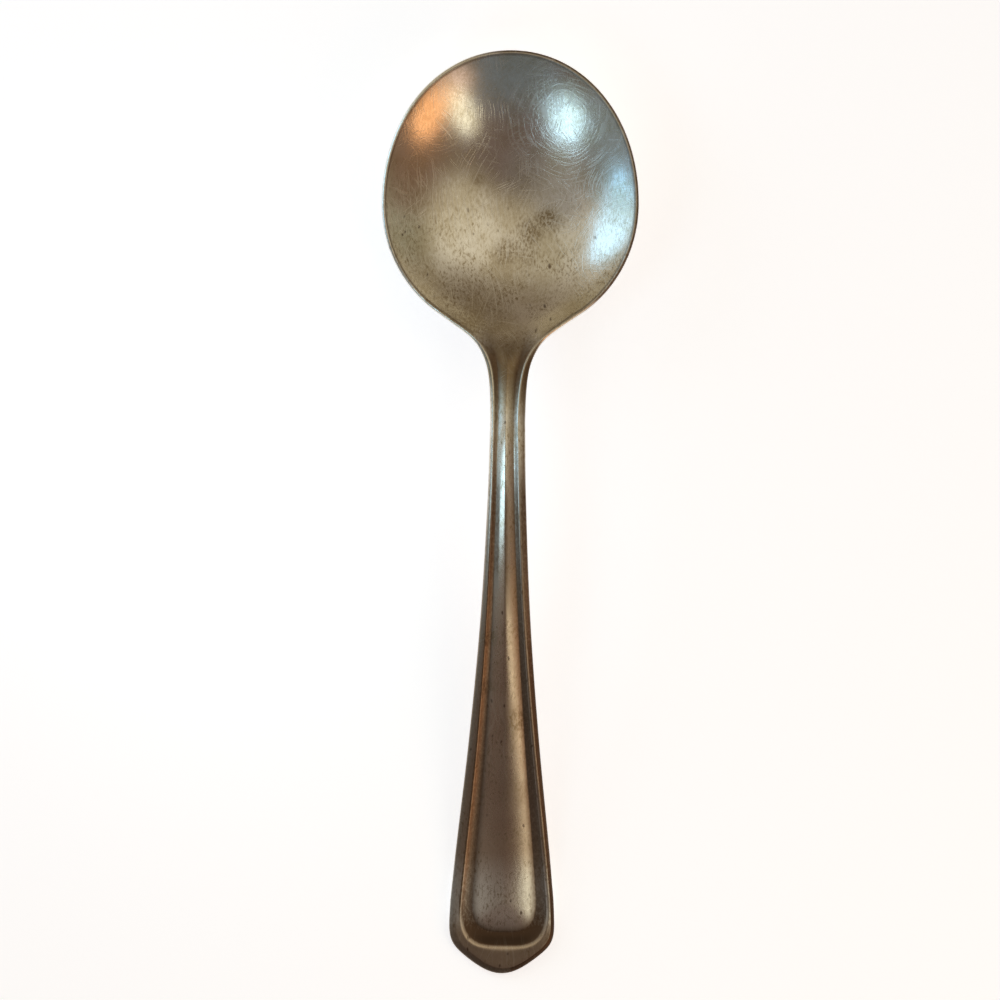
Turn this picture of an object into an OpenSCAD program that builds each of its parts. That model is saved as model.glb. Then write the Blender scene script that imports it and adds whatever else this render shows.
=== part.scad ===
// Round-bowl soup spoon, struck from one blank and divided at its natural areas.
// The long axis lies along Y with the bowl at +Y. The spoon lies on the plane z = 0.
// A station is a place along the spoon, measured from the bowl's tip.

/* [Outline] */
// Whole length, from the bowl's tip to the handle's tip
spoon_length = 155; // [145:1:170]
// Width of the bowl at its widest place
bowl_w = 42.9; // [38:0.1:48]
// Length from the bowl's tip to its widest place
bowl_tip_l = 25.6; // [22:0.1:28]
// Length of the oval that rounds the bowl from its widest place towards the neck
bowl_neck_l = 22.1; // [20:0.1:24]
// Station where the stem is slimmest
stem_at = 62; // [58:0.5:66]
// Width of the stem at its slimmest
stem_w = 5.8; // [5:0.1:7]
// Length from the handle's tip back to the round centre of its end
end_l = 12.4; // [11:0.1:14]
// Width of the handle at that round centre
handle_w = 17.45; // [15:0.05:20]
// Length from the handle's tip back to the corners of its pointed end
corner_l = 5.3; // [4.5:0.1:6.5]
// Width between those corners
corner_w = 18.24; // [16:0.02:20]

/* [Bowl] */
// Depth of the bowl below its lip
bowl_depth = 8.5; // [6:0.1:11]
// Thickness of the metal at the bottom of the bowl
bowl_wall = 1.25; // [0.9:0.05:2]
// Width of the slanted lip round the bowl
lip_w = 0.5; // [0.3:0.05:1]
// Height of the bowl's edge
lip_t = 0.9; // [0.6:0.05:1.3]
// Height that the lip falls towards the outline
lip_drop = 0.28; // [0.1:0.02:0.4]
// Station where the hollow of the bowl has died out
hollow_end = 54; // [52:0.5:56]
// Depth of the flats that use has worn beneath the bowl and the handle
worn = 0.1; // [0.05:0.01:0.2]

/* [Side profile] */
// Height of the bowl's tip above the lip at the widest place
tip_lift = 0.2; // [0:0.1:1.5]
// Height of the lip lines, at the seam of bowl and neck, above the lip at the widest place
shoulder_lift = 1.4; // [0.5:0.1:2.5]
// Height of the arch of the handle above the lip at the widest place
arch_lift = 5.2; // [3:0.1:8]
// Station of the top of the arch
arch_at = 67; // [62:1:75]
// Length from the handle's tip back to the line that the handle rests on
rest_l = 8; // [6:0.5:9]
// Height that the handle's tip is turned up
tip_turn = 0.1; // [0:0.05:1]

/* [Thickness] */
// Thickness in the middle of the stem
stem_t = 3.1; // [2.5:0.1:4]
// Height from the crest lines down to the lower edge of the stem
stem_edge_t = 1.6; // [1.3:0.05:2]
// Thickness in the middle of the handle's end
end_t = 2.1; // [1.8:0.05:3]
// Height from the crest line down to the lower edge of the handle's end
end_edge_t = 1.25; // [1.1:0.05:1.6]

/* [Relief] */
// Station where the struck pattern begins to rise
struck_at = 45; // [44:0.5:47]
// Length over which the struck pattern rises
struck_l = 7; // [5:0.5:9]
// Width of the rib on the stem
rib_w = 2.6; // [2:0.1:3.2]
// Width of the raised panel at the round centre of the handle's end
panel_w = 10.8; // [9:0.1:12]
// Length from the handle's tip back to the foot of the panel
panel_foot_l = 7; // [6:0.1:8]
// Width of the outer bevel on the stem
stem_bevel_w = 0.75; // [0.5:0.05:0.9]
// Width of the outer bevel on the handle
bevel_w = 1; // [0.7:0.05:1.4]
// Height that the bevel falls from the bead to the edge
bevel_drop = 0.5; // [0.3:0.05:0.7]
// Width of the bead on the stem
stem_bead_w = 0.25; // [0.15:0.05:0.35]
// Width of the bead on the handle
bead_w = 0.5; // [0.3:0.05:0.7]
// Length of the plain face on the centre line of the end
tip_face_l = 4.4; // [3.6:0.1:5]
// Height that the plain face falls towards the bevel
tip_face_drop = 0.25; // [0:0.05:0.4]
// Depth of the grooves of the stem below the bead
stem_groove_d = 0.36; // [0.2:0.02:0.5]
// Depth of the groove of the handle below the bead
groove_d = 0.5; // [0.3:0.05:0.6]
// Height of the rib above the bead
rib_crown = 0.32; // [0.05:0.01:0.4]
// Height of the panel above the bead
panel_crown = 0.4; // [0.1:0.05:0.7]
// Sideways shift of the struck pattern on the stem
stem_shift = -0.3; // [-0.4:0.05:0.4]
// Sideways shift of the struck pattern on the handle
handle_shift = 0.35; // [-0.4:0.05:0.4]

/* [Seams] */
// Station of the seam of bowl and neck
neck_at = 44; // [42:0.5:45]
// Length of the neck
neck_l = 10; // [9:0.5:12]
// Station of the seam of stem and handle
handle_at = 92; // [88:1:98]

/* [Hidden] */

// Shape of the round tip of the bowl, where 2 is an ellipse
tip_power = 2.06;
// How softly the hollow runs out towards the neck
hollow_soft = 1.5;
// How late the handle falls from the arch to its rest, where 1 is an even fall
fall_power = 1.2;
// Direction in which the slanted edges of the end face, and how much the sides still widen there
slant_angle = 50.5;
flare_angle = 3;
// Sharpness of the rounded corners of the end's outline, of its crest line and of the panel's foot
outline_power = 10.75;
crest_power = 3.2;
foot_power = 3;
// Roundness of the back on the stem and on the handle
stem_back_power = 2.2;
end_back_power = 4;
// Roundness of the rib, the panel, the grooves on the stem and on the handle, and the bevel
rib_power = 1.2;
panel_power = 1.7;
stem_groove_power = 1.2;
groove_power = 2;
bevel_power = 1.4;

// Share of the bowl's oval that ends at the shoulder, where the outline turns towards the neck
shoulder_share = 0.82;
// Share of the neck's climb, from its seam with the bowl to the arch, that lies within the neck
climb_share = 0.62;
// Share of the widening towards the bowl that the rib takes up
spread_share = 0.62;
// Share of the blunt tip's pull on the outline that is kept at least
least_share = 0.02;
// From the shoulder to the slimmest stem: shares of the way, and of the width that is lost
flare_shares = [
    [0, 0],
    [0.12, 0.335],
    [0.18, 0.5],
    [0.24, 0.64],
    [0.31, 0.757],
    [0.4, 0.855],
    [0.5, 0.925],
    [0.62, 0.967],
    [0.78, 0.99],
    [1, 1]
];
// From the slimmest stem to the round centre: shares of the way, and of the width that is gained
growth_shares = [
    [0, 0],
    [0.16, 0.05],
    [0.41, 0.22],
    [0.66, 0.512],
    [0.9, 0.866],
    [1, 1]
];
// Drawn places: across half the panel, along its rounded foot, and out from the bowl's middle
panel_shares = [0, 0.28, 0.55, 0.8];
foot_shares = [0.2, 0.4, 0.57, 0.71, 0.82, 0.9, 0.955, 0.985];
ring_shares = [0.22, 0.34, 0.46, 0.58, 0.69, 0.79, 0.87, 0.93];
// Counts of drawn steps
tip_steps = 28;
side_steps = 10;
neck_steps = 12;
stem_steps = 19;
handle_steps = 18;
groove_steps = 5;

// Colours of the worn plate
bowl_colour = [0.55, 0.51, 0.44];
neck_colour = [0.47, 0.42, 0.35];
stem_colour = [0.5, 0.45, 0.39];
border_colour = [0.42, 0.36, 0.31];
panel_colour = [0.46, 0.38, 0.32];

// Half widths, stations and heights that follow from the sizes above
half_w = bowl_w / 2;
stem_half = stem_w / 2;
handle_half = handle_w / 2;
panel_half = panel_w / 2;
rib_half = rib_w / 2;
neck_end = neck_at + neck_l;
end_at = spoon_length - end_l;
rest_at = spoon_length - rest_l;
panel_end_l = end_l - panel_foot_l;
lip_z = bowl_depth + bowl_wall - worn;
mouth_share = 1 - pow(1 - lip_w / half_w, 2);
rest_z = end_t - worn;

// General curves
function between(a, b, f) = a + (b - a) * f;
function bounded(f) = max(0, min(1, f));
function ease(f) = let (g = bounded(f)) g * g * (3 - 2 * g);
function ramp(a, b, x) = ease((x - a) / (b - a));
function total(v, i = 0) = i >= len(v) ? 0 : v[i] + total(v, i + 1);
function backwards(v) = [for (i = [len(v) - 1:-1:0]) v[i]];
function row_at(t, x, i = 0) = i >= len(t) - 2 || x < t[i + 1][0] ? i : row_at(t, x, i + 1);
function steepness(t, i) =
    let (a = max(i - 1, 0))
    let (b = min(i + 1, len(t) - 1))
    (t[b][1] - t[a][1]) / (t[b][0] - t[a][0]);
// A smooth curve through the rows of a table, read at x
function curve(t, x) =
    let (i = row_at(t, x))
    let (run = t[i + 1][0] - t[i][0])
    let (f = bounded((x - t[i][0]) / run))
    let (g = 1 - f)
    t[i][1] * g * g * (1 + 2 * f)
    + steepness(t, i) * run * f * g * g
    + t[i + 1][1] * f * f * (1 + 2 * g)
    - steepness(t, i + 1) * run * f * f * g;

// Half the width of the outline, up to the round centre of the handle's end
shoulder_at = bowl_tip_l + bowl_neck_l * shoulder_share;
shoulder_half = half_w * sqrt(1 - shoulder_share * shoulder_share);
function tip_half(s) =
    half_w * pow(1 - pow(bounded(1 - s / bowl_tip_l), tip_power), 1 / tip_power);
function oval_half(s) = half_w * sqrt(1 - pow((s - bowl_tip_l) / bowl_neck_l, 2));
function flare_half(s) =
    between(shoulder_half, stem_half, curve(flare_shares, (s - shoulder_at) / (stem_at - shoulder_at)));
function grown_half(s) =
    between(stem_half, handle_half, curve(growth_shares, (s - stem_at) / (end_at - stem_at)));
function half_at(s) =
    s < bowl_tip_l ? tip_half(s)
    : s < shoulder_at ? oval_half(s)
    : s < stem_at ? flare_half(s)
    : grown_half(s);
// How far a place lies towards the edge of its station, from 0 to 1
function towards_edge(x, s) = x == 0 ? 0 : abs(x) / half_at(s);

// Height of the lip and the crest lines along the spoon
shoulder_z = lip_z + shoulder_lift;
arch_z = lip_z + arch_lift;
neck_z = between(shoulder_z, arch_z, climb_share);
climb = [
    [2 * bowl_tip_l - neck_at, shoulder_z],
    [bowl_tip_l, lip_z],
    [neck_at, shoulder_z],
    [neck_end, neck_z],
    [arch_at, arch_z],
    [2 * arch_at - neck_end, neck_z]
];
function fallen(f) = between(arch_z, rest_z, ease(pow(f, fall_power)));
function crest_z(s) =
    s < bowl_tip_l ? lip_z + tip_lift * pow(1 - s / bowl_tip_l, 2)
    : s < arch_at ? curve(climb, s)
    : s < rest_at ? fallen((s - arch_at) / (rest_at - arch_at))
    : rest_z + tip_turn * pow((s - rest_at) / rest_l, 2);

// Sizes that change along the spoon, from the lip to the stem and on to the round centre
function changing(lip, stem, end, s) =
    lip + (stem - lip) * ramp(neck_at, stem_at, s) + (end - stem) * ramp(stem_at, end_at, s);
function shift_at(s) = changing(0, stem_shift, handle_shift, s);
function bevel_at(s) = changing(lip_w, stem_bevel_w, bevel_w, s);
function bead_at(s) = changing(stem_bead_w, stem_bead_w, bead_w, s);
function edge_t_at(s) = changing(lip_t, stem_edge_t, end_edge_t, s);
function middle_t_at(s) = changing(stem_t, stem_t, end_t, s);
function back_power_at(s) = changing(stem_back_power, stem_back_power, end_back_power, s);
function bevel_drop_at(s) = changing(lip_drop, bevel_drop, bevel_drop, s);
function crown_at(s) = changing(rib_crown, rib_crown, panel_crown, s);
function groove_at(s) = changing(stem_groove_d, stem_groove_d, groove_d, s);
function crown_power_at(s) = changing(rib_power, rib_power, panel_power, s);
function groove_power_at(s) = changing(stem_groove_power, stem_groove_power, groove_power, s);
function relief_at(s) = ramp(struck_at, struck_at + struck_l, s);
function belly_at(s) = ramp(bowl_tip_l + bowl_depth, neck_end, s);
function panel_half_at(s) =
    let (f = bounded((s - stem_at) / (end_at - stem_at)))
    s < stem_at ? rib_half + spread_share * (half_at(s) - stem_half)
    : half_at(s) * between(rib_half / stem_half, panel_half / handle_half, f);

// The hollow: how near a place lies to the outline, from 0 in the middle to 1 on the outline,
// where least is the share that the front keeps, so that it runs out gently at the neck
function hollow_keep(s, least) =
    let (t = bounded((s - bowl_tip_l) / (hollow_end - bowl_tip_l)))
    s < bowl_tip_l ? pow(tip_half(s) / half_w, 2)
    : between(pow(1 - t * t, 1 + hollow_soft * t * t), 1, least);
function nearness(x, s, least) =
    sqrt(bounded(1 - hollow_keep(s, least) * (1 - pow(towards_edge(x, s), 2))));
// Depth of a round dish at a distance from its middle
function dish(depth, half, d) =
    let (r = (half * half + depth * depth) / (2 * depth))
    sqrt(r * r - pow(min(half, d), 2)) - (r - depth);
outer_depth = bowl_depth + bowl_wall - lip_t;
function hollow(x, s) =
    s >= hollow_end ? 0 : dish(bowl_depth, half_w - lip_w, half_w * nearness(x, s, mouth_share));
function hollow_under(x, s) =
    s >= hollow_end ? 0 : dish(outer_depth, half_w, half_w * nearness(x, s, 0));

// The struck pattern's height at the distance r from its own middle, where foot, crest and bevel
// are how far the foot of the panel, the crest line and the bevel lie from it
face_l = tip_face_l - bevel_w - bead_w;
function dome(f, s) =
    (groove_at(s) + crown_at(s)) * (1 - pow(f, crown_power_at(s))) - groove_at(s);
function pattern(r, foot, crest, bevel, s) =
    r <= foot ? dome(r / foot, s)
    : r <= crest ? groove_at(s) * (pow((r - foot) / (crest - foot), groove_power_at(s)) - 1)
    : -tip_face_drop * max(0, min(r, bevel) - crest - bead_at(s)) / face_l;

// How far the bevel has fallen at the share f of the way from its upper line to the outline
function bevel_fall(f, s) = bevel_drop_at(s) * pow(bounded(f), bevel_power);
function lip_share(x, s) = 1 - half_w * (1 - nearness(x, s, 0)) / lip_w;

// The two faces of the metal, up to the round centre of the handle's end
function front_z(x, s) =
    let (shift = shift_at(s))
    let (r = abs(x - shift))
    let (bevel = half_at(s) - bevel_at(s))
    let (edge = half_at(s) + (x < shift ? shift : -shift))
    let (f = s < bowl_tip_l ? lip_share(x, s) : (r - bevel) / (edge - bevel))
    let (struck = relief_at(s) * pattern(r, panel_half_at(s), bevel - bead_at(s), bevel, s))
    crest_z(s) - hollow(x, s) + struck - bevel_fall(f, s);
function back_z(f, s, under) =
    let (belly = belly_at(s) * (middle_t_at(s) - edge_t_at(s)) * (1 - pow(f, back_power_at(s))))
    max(0, crest_z(s) - edge_t_at(s) - under - belly);
function spot(x, s) = [x, s, front_z(x, s), back_z(towards_edge(x, s), s, hollow_under(x, s))];

// The handle's end: straight sides with rounded corners, as distances from the round centre,
// and how far such a shape reaches from there at an angle
function side(angle, d, shift) = [angle, d - shift * cos(angle)];
function long_sides(half, tip, shift) = [
    side(-flare_angle, half * cos(flare_angle), shift),
    side(90, tip, shift),
    side(180 + flare_angle, half * cos(flare_angle), shift)
];
function slants(slant, shift) = [side(slant_angle, slant, shift), side(180 - slant_angle, slant, shift)];
function reach(sides, p, angle) =
    pow(total([for (q = sides) pow(max(0, cos(angle - q[0])) / q[1], p)]), -1 / p);
slant_d = corner_w / 2 * cos(slant_angle) + (end_l - corner_l) * sin(slant_angle);
bevel_half = handle_half - bevel_w;
outer_slants = slants(slant_d, handle_shift);
// The blunt tip lies where the rounded outline comes out at its full length
full_pull = pow(end_l, -outline_power);
slants_pull = pow(reach(outer_slants, outline_power, 90), -outline_power);
blunt_d = pow(max(full_pull - slants_pull, least_share * full_pull), -1 / outline_power);
outline_sides = concat(long_sides(handle_half, blunt_d, handle_shift), outer_slants);
bevel_sides = concat(long_sides(bevel_half, blunt_d - bevel_w, 0), slants(slant_d - bevel_w, 0));
crest_sides = long_sides(bevel_half - bead_w, end_l - tip_face_l, 0);
function end_angle(x, s) = atan2(s - end_at, x - handle_shift);
function end_radius(x, s) = norm([x - handle_shift, s - end_at]);
function edge_reach(angle) = reach(outline_sides, outline_power, angle);
// A place on the handle's end, by its distance from the round centre and its front height
function end_spot(angle, r, struck) =
    let (s = end_at + r * sin(angle))
    let (x = handle_shift + r * cos(angle))
    [x, s, crest_z(s) + struck, back_z(r / edge_reach(angle), s, 0)];
// A place on the panel beyond the round centre
function foot_spot(x, s) =
    let (a = pow(abs(x - handle_shift) / panel_half, foot_power))
    let (b = pow((s - end_at) / panel_end_l, foot_power))
    end_spot(end_angle(x, s), end_radius(x, s), dome(pow(a + b, 1 / foot_power), s));
// A section of the border, from the outline in to a place on the foot of the panel
function foot_section(x, s) =
    let (angle = end_angle(x, s))
    let (foot = end_radius(x, s))
    let (edge = edge_reach(angle))
    let (bevel = reach(bevel_sides, outline_power, angle))
    let (crest = reach(crest_sides, crest_power, angle))
    let (grooves = [for (i = [1:groove_steps - 1]) between(crest, foot, i / groove_steps)])
    concat(
        [for (r = concat([edge, (edge + bevel) / 2, bevel, crest], grooves))
            let (fall = bevel_fall((r - bevel) / (edge - bevel), s))
            end_spot(angle, r, pattern(r, foot, crest, bevel, end_at + r * sin(angle)) - fall)],
        [foot_spot(x, s)]
    );

// Where the lines of the pattern cross a station, on the left or right, from the outline inwards
function border_places(s, hand) =
    let (w = half_at(s))
    let (shift = shift_at(s))
    let (bevel = w - bevel_at(s))
    let (crest = bevel - bead_at(s))
    let (foot = panel_half_at(s))
    concat(
        [hand * w, (hand * (w + bevel) + shift) / 2, shift + hand * bevel, shift + hand * crest],
        [for (i = [1:groove_steps]) shift + hand * between(crest, foot, i / groove_steps)]
    );
// Where they cross the panel, without its two feet
function panel_places(half, shift) =
    let (n = len(panel_shares) - 1)
    concat(
        [for (i = [n:-1:1]) shift - half * panel_shares[i]],
        [for (i = [0:n]) shift + half * panel_shares[i]]
    );
function across(s) = concat(
    border_places(s, -1),
    panel_places(panel_half_at(s), shift_at(s)),
    backwards(border_places(s, 1))
);
function full_row(s) = [for (x = across(s)) spot(x, s)];
function border_row(s, hand) = [for (x = border_places(s, hand)) spot(x, s)];
function steps(a, b, n) = [for (i = [0:n]) between(a, b, i / n)];

// The closed solid between the front and the back of a grid of places
function corner_at(p, z) = [p[0], spoon_length / 2 - p[1], p[z]];
function quad(a, b, c, d) = [[a, b, c], [a, c, d]];
module slab(rows) {
    m = len(rows);
    n = len(rows[0]);
    flat_rows = [for (r = rows) for (p = r) p];
    points = concat([for (p = flat_rows) corner_at(p, 2)], [for (p = flat_rows) corner_at(p, 3)]);
    function f(i, j) = i * n + j;
    function b(i, j) = (m + i) * n + j;
    faces = [
        for (i = [0:m - 2]) for (j = [0:n - 2])
            each quad(f(i, j), f(i, j + 1), f(i + 1, j + 1), f(i + 1, j)),
        for (i = [0:m - 2]) for (j = [0:n - 2])
            each quad(b(i, j), b(i + 1, j), b(i + 1, j + 1), b(i, j + 1)),
        for (j = [0:n - 2])
            each quad(f(0, j + 1), f(0, j), b(0, j), b(0, j + 1)),
        for (j = [0:n - 2])
            each quad(f(m - 1, j), f(m - 1, j + 1), b(m - 1, j + 1), b(m - 1, j)),
        for (i = [0:m - 2])
            each quad(f(i, 0), f(i + 1, 0), b(i + 1, 0), b(i, 0)),
        for (i = [0:m - 2])
            each quad(f(i + 1, n - 1), f(i, n - 1), b(i, n - 1), b(i + 1, n - 1))
    ];
    polyhedron(points, faces);
}

// The closed solid between the front and the back of rings of places round a middle
module disc(middle, rings) {
    m = len(rings);
    n = len(rings[0]);
    flat_rings = concat([middle], [for (r = rings) for (p = r) p]);
    points = concat([for (p = flat_rings) corner_at(p, 2)], [for (p = flat_rings) corner_at(p, 3)]);
    under = len(flat_rings);
    function f(i, j) = 1 + i * n + j % n;
    function b(i, j) = under + f(i, j);
    faces = [
        for (j = [0:n - 1]) [0, f(0, j), f(0, j + 1)],
        for (j = [0:n - 1]) [under, b(0, j + 1), b(0, j)],
        for (i = [0:m - 2]) for (j = [0:n - 1])
            each quad(f(i, j), f(i + 1, j), f(i + 1, j + 1), f(i, j + 1)),
        for (i = [0:m - 2]) for (j = [0:n - 1])
            each quad(b(i, j), b(i, j + 1), b(i + 1, j + 1), b(i + 1, j)),
        for (j = [0:n - 1])
            each quad(f(m - 1, j + 1), f(m - 1, j), b(m - 1, j), b(m - 1, j + 1))
    ];
    polyhedron(points, faces);
}

// The outline of the bowl, clockwise from its left end at the neck, and its straight seam
sides_of_bowl = [for (i = [1:side_steps]) between(bowl_tip_l, neck_at, i / side_steps)];
function round_tip(angle) = [
    half_w * sign(sin(angle)) * pow(abs(sin(angle)), 2 / tip_power),
    bowl_tip_l * (1 - pow(abs(cos(angle)), 2 / tip_power))
];
seam_of_bowl = backwards(across(neck_at));
outline_of_bowl = concat(
    [for (s = backwards(sides_of_bowl)) [-half_at(s), s]],
    [for (angle = steps(-90, 90, tip_steps)) round_tip(angle)],
    [for (s = sides_of_bowl) [half_at(s), s]],
    [for (i = [1:len(seam_of_bowl) - 2]) [seam_of_bowl[i], neck_at]]
);
// The worn flat reaches as far as the dish's own roundness lets it
outer_r = (half_w * half_w + outer_depth * outer_depth) / (2 * outer_depth);
flat_r = sqrt(worn * (2 * outer_r - worn));
rings_of_bowl = concat([flat_r / half_w], ring_shares, [1 - lip_w / half_w, 1]);

module bowl() {
    color(bowl_colour) disc(
        spot(0, bowl_tip_l),
        [for (f = rings_of_bowl) [for (p = outline_of_bowl) spot(f * p[0], between(bowl_tip_l, p[1], f))]]
    );
}

module neck() {
    color(neck_colour) slab([for (s = steps(neck_at, neck_end, neck_steps)) full_row(s)]);
}

module stem() {
    color(stem_colour) slab([for (s = steps(neck_end, handle_at, stem_steps)) full_row(s)]);
}

// Stations of the handle, and the places of the panel's rounded foot
handle_stations = steps(handle_at, end_at, handle_steps);
function foot_half(f) = panel_half * pow(1 - pow(f, foot_power), 1 / foot_power);
function foot_at(f) = end_at + panel_end_l * f;
last_share = foot_shares[len(foot_shares) - 1];

module handle_border() {
    left = [for (s = handle_stations) border_row(s, -1)];
    right = [for (s = backwards(handle_stations)) border_row(s, 1)];
    left_foot = [for (f = foot_shares) foot_section(handle_shift - foot_half(f), foot_at(f))];
    right_foot = [for (f = backwards(foot_shares)) foot_section(handle_shift + foot_half(f), foot_at(f))];
    low_places = panel_places(foot_half(last_share), handle_shift);
    low = [for (x = low_places) foot_section(x, foot_at(last_share))];
    color(border_colour) slab(concat(left, left_foot, low, right_foot, right));
}

module handle_panel() {
    function panel_xs(half, shift) = concat([shift - half], panel_places(half, shift), [shift + half]);
    color(panel_colour) slab(concat(
        [for (s = handle_stations) [for (x = panel_xs(panel_half_at(s), shift_at(s))) spot(x, s)]],
        [for (f = foot_shares) [for (x = panel_xs(foot_half(f), handle_shift)) foot_spot(x, foot_at(f))]]
    ));
}

bowl();
neck();
stem();
handle_border();
handle_panel();
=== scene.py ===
import math
from collections import namedtuple

import bmesh
import bpy
from bpy.props import FloatProperty, FloatVectorProperty, PointerProperty
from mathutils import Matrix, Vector, noise


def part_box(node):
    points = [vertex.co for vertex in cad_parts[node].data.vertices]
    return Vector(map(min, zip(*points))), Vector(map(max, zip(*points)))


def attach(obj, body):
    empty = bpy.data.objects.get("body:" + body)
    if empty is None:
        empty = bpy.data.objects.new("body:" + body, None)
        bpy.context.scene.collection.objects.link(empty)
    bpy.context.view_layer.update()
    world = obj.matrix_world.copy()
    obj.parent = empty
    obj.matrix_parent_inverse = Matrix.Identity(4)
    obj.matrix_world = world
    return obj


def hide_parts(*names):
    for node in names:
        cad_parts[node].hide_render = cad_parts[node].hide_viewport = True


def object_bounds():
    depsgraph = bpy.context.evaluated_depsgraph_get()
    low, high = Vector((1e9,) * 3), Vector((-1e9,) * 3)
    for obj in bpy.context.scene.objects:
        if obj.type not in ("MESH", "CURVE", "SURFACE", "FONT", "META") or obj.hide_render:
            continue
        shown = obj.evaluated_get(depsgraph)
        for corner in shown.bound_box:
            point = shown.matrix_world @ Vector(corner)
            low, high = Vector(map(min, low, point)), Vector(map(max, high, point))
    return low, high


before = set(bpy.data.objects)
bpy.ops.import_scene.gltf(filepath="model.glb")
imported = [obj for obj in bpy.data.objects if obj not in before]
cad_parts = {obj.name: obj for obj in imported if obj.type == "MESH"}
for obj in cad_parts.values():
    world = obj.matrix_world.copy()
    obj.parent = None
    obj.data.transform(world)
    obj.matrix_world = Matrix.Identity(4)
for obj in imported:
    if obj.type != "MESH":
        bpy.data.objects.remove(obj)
CAD_LOW, CAD_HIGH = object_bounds()

bl_info = {
    "name": "Round-bowl soup spoon",
    "version": (1, 0, 0),
    "blender": (4, 5, 0),
    "location": "View3D > Sidebar > Spoon",
    "description": "Builds a struck soup spoon in worn silver plate round its packed model",
    "category": "Add Mesh",
}

MM = 0.001

# From the shoulder to the slimmest stem: shares of the way, and of the width that is lost
FLARE_SHARES = (
    (0, 0), (0.12, 0.335), (0.18, 0.5), (0.24, 0.64), (0.31, 0.757),
    (0.4, 0.855), (0.5, 0.925), (0.62, 0.967), (0.78, 0.99), (1, 1),
)
# From the slimmest stem to the round centre: shares of the way, and of the width that is gained
GROWTH_SHARES = ((0, 0), (0.16, 0.05), (0.41, 0.22), (0.66, 0.512), (0.9, 0.866), (1, 1))


def length(name, text, millimetres):
    return FloatProperty(
        name=name, description=text, default=millimetres * MM, min=0.0, precision=5, unit="LENGTH"
    )


def offset(name, text, millimetres):
    return FloatProperty(
        name=name, description=text, default=millimetres * MM, precision=5, unit="LENGTH"
    )


def number(name, text, value):
    return FloatProperty(name=name, description=text, default=value, min=0.0)


def turn(name, text, degrees):
    angle = math.radians(degrees)
    return FloatProperty(name=name, description=text, default=angle, subtype="ANGLE")


def tint(name, text, value):
    return FloatVectorProperty(
        name=name, description=text, default=value, min=0.0, max=1.0, size=3, subtype="COLOR"
    )


def station_of(node):
    """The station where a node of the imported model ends, measured from the bowl's tip."""
    return CAD_HIGH.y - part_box(node)[0].y


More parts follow.
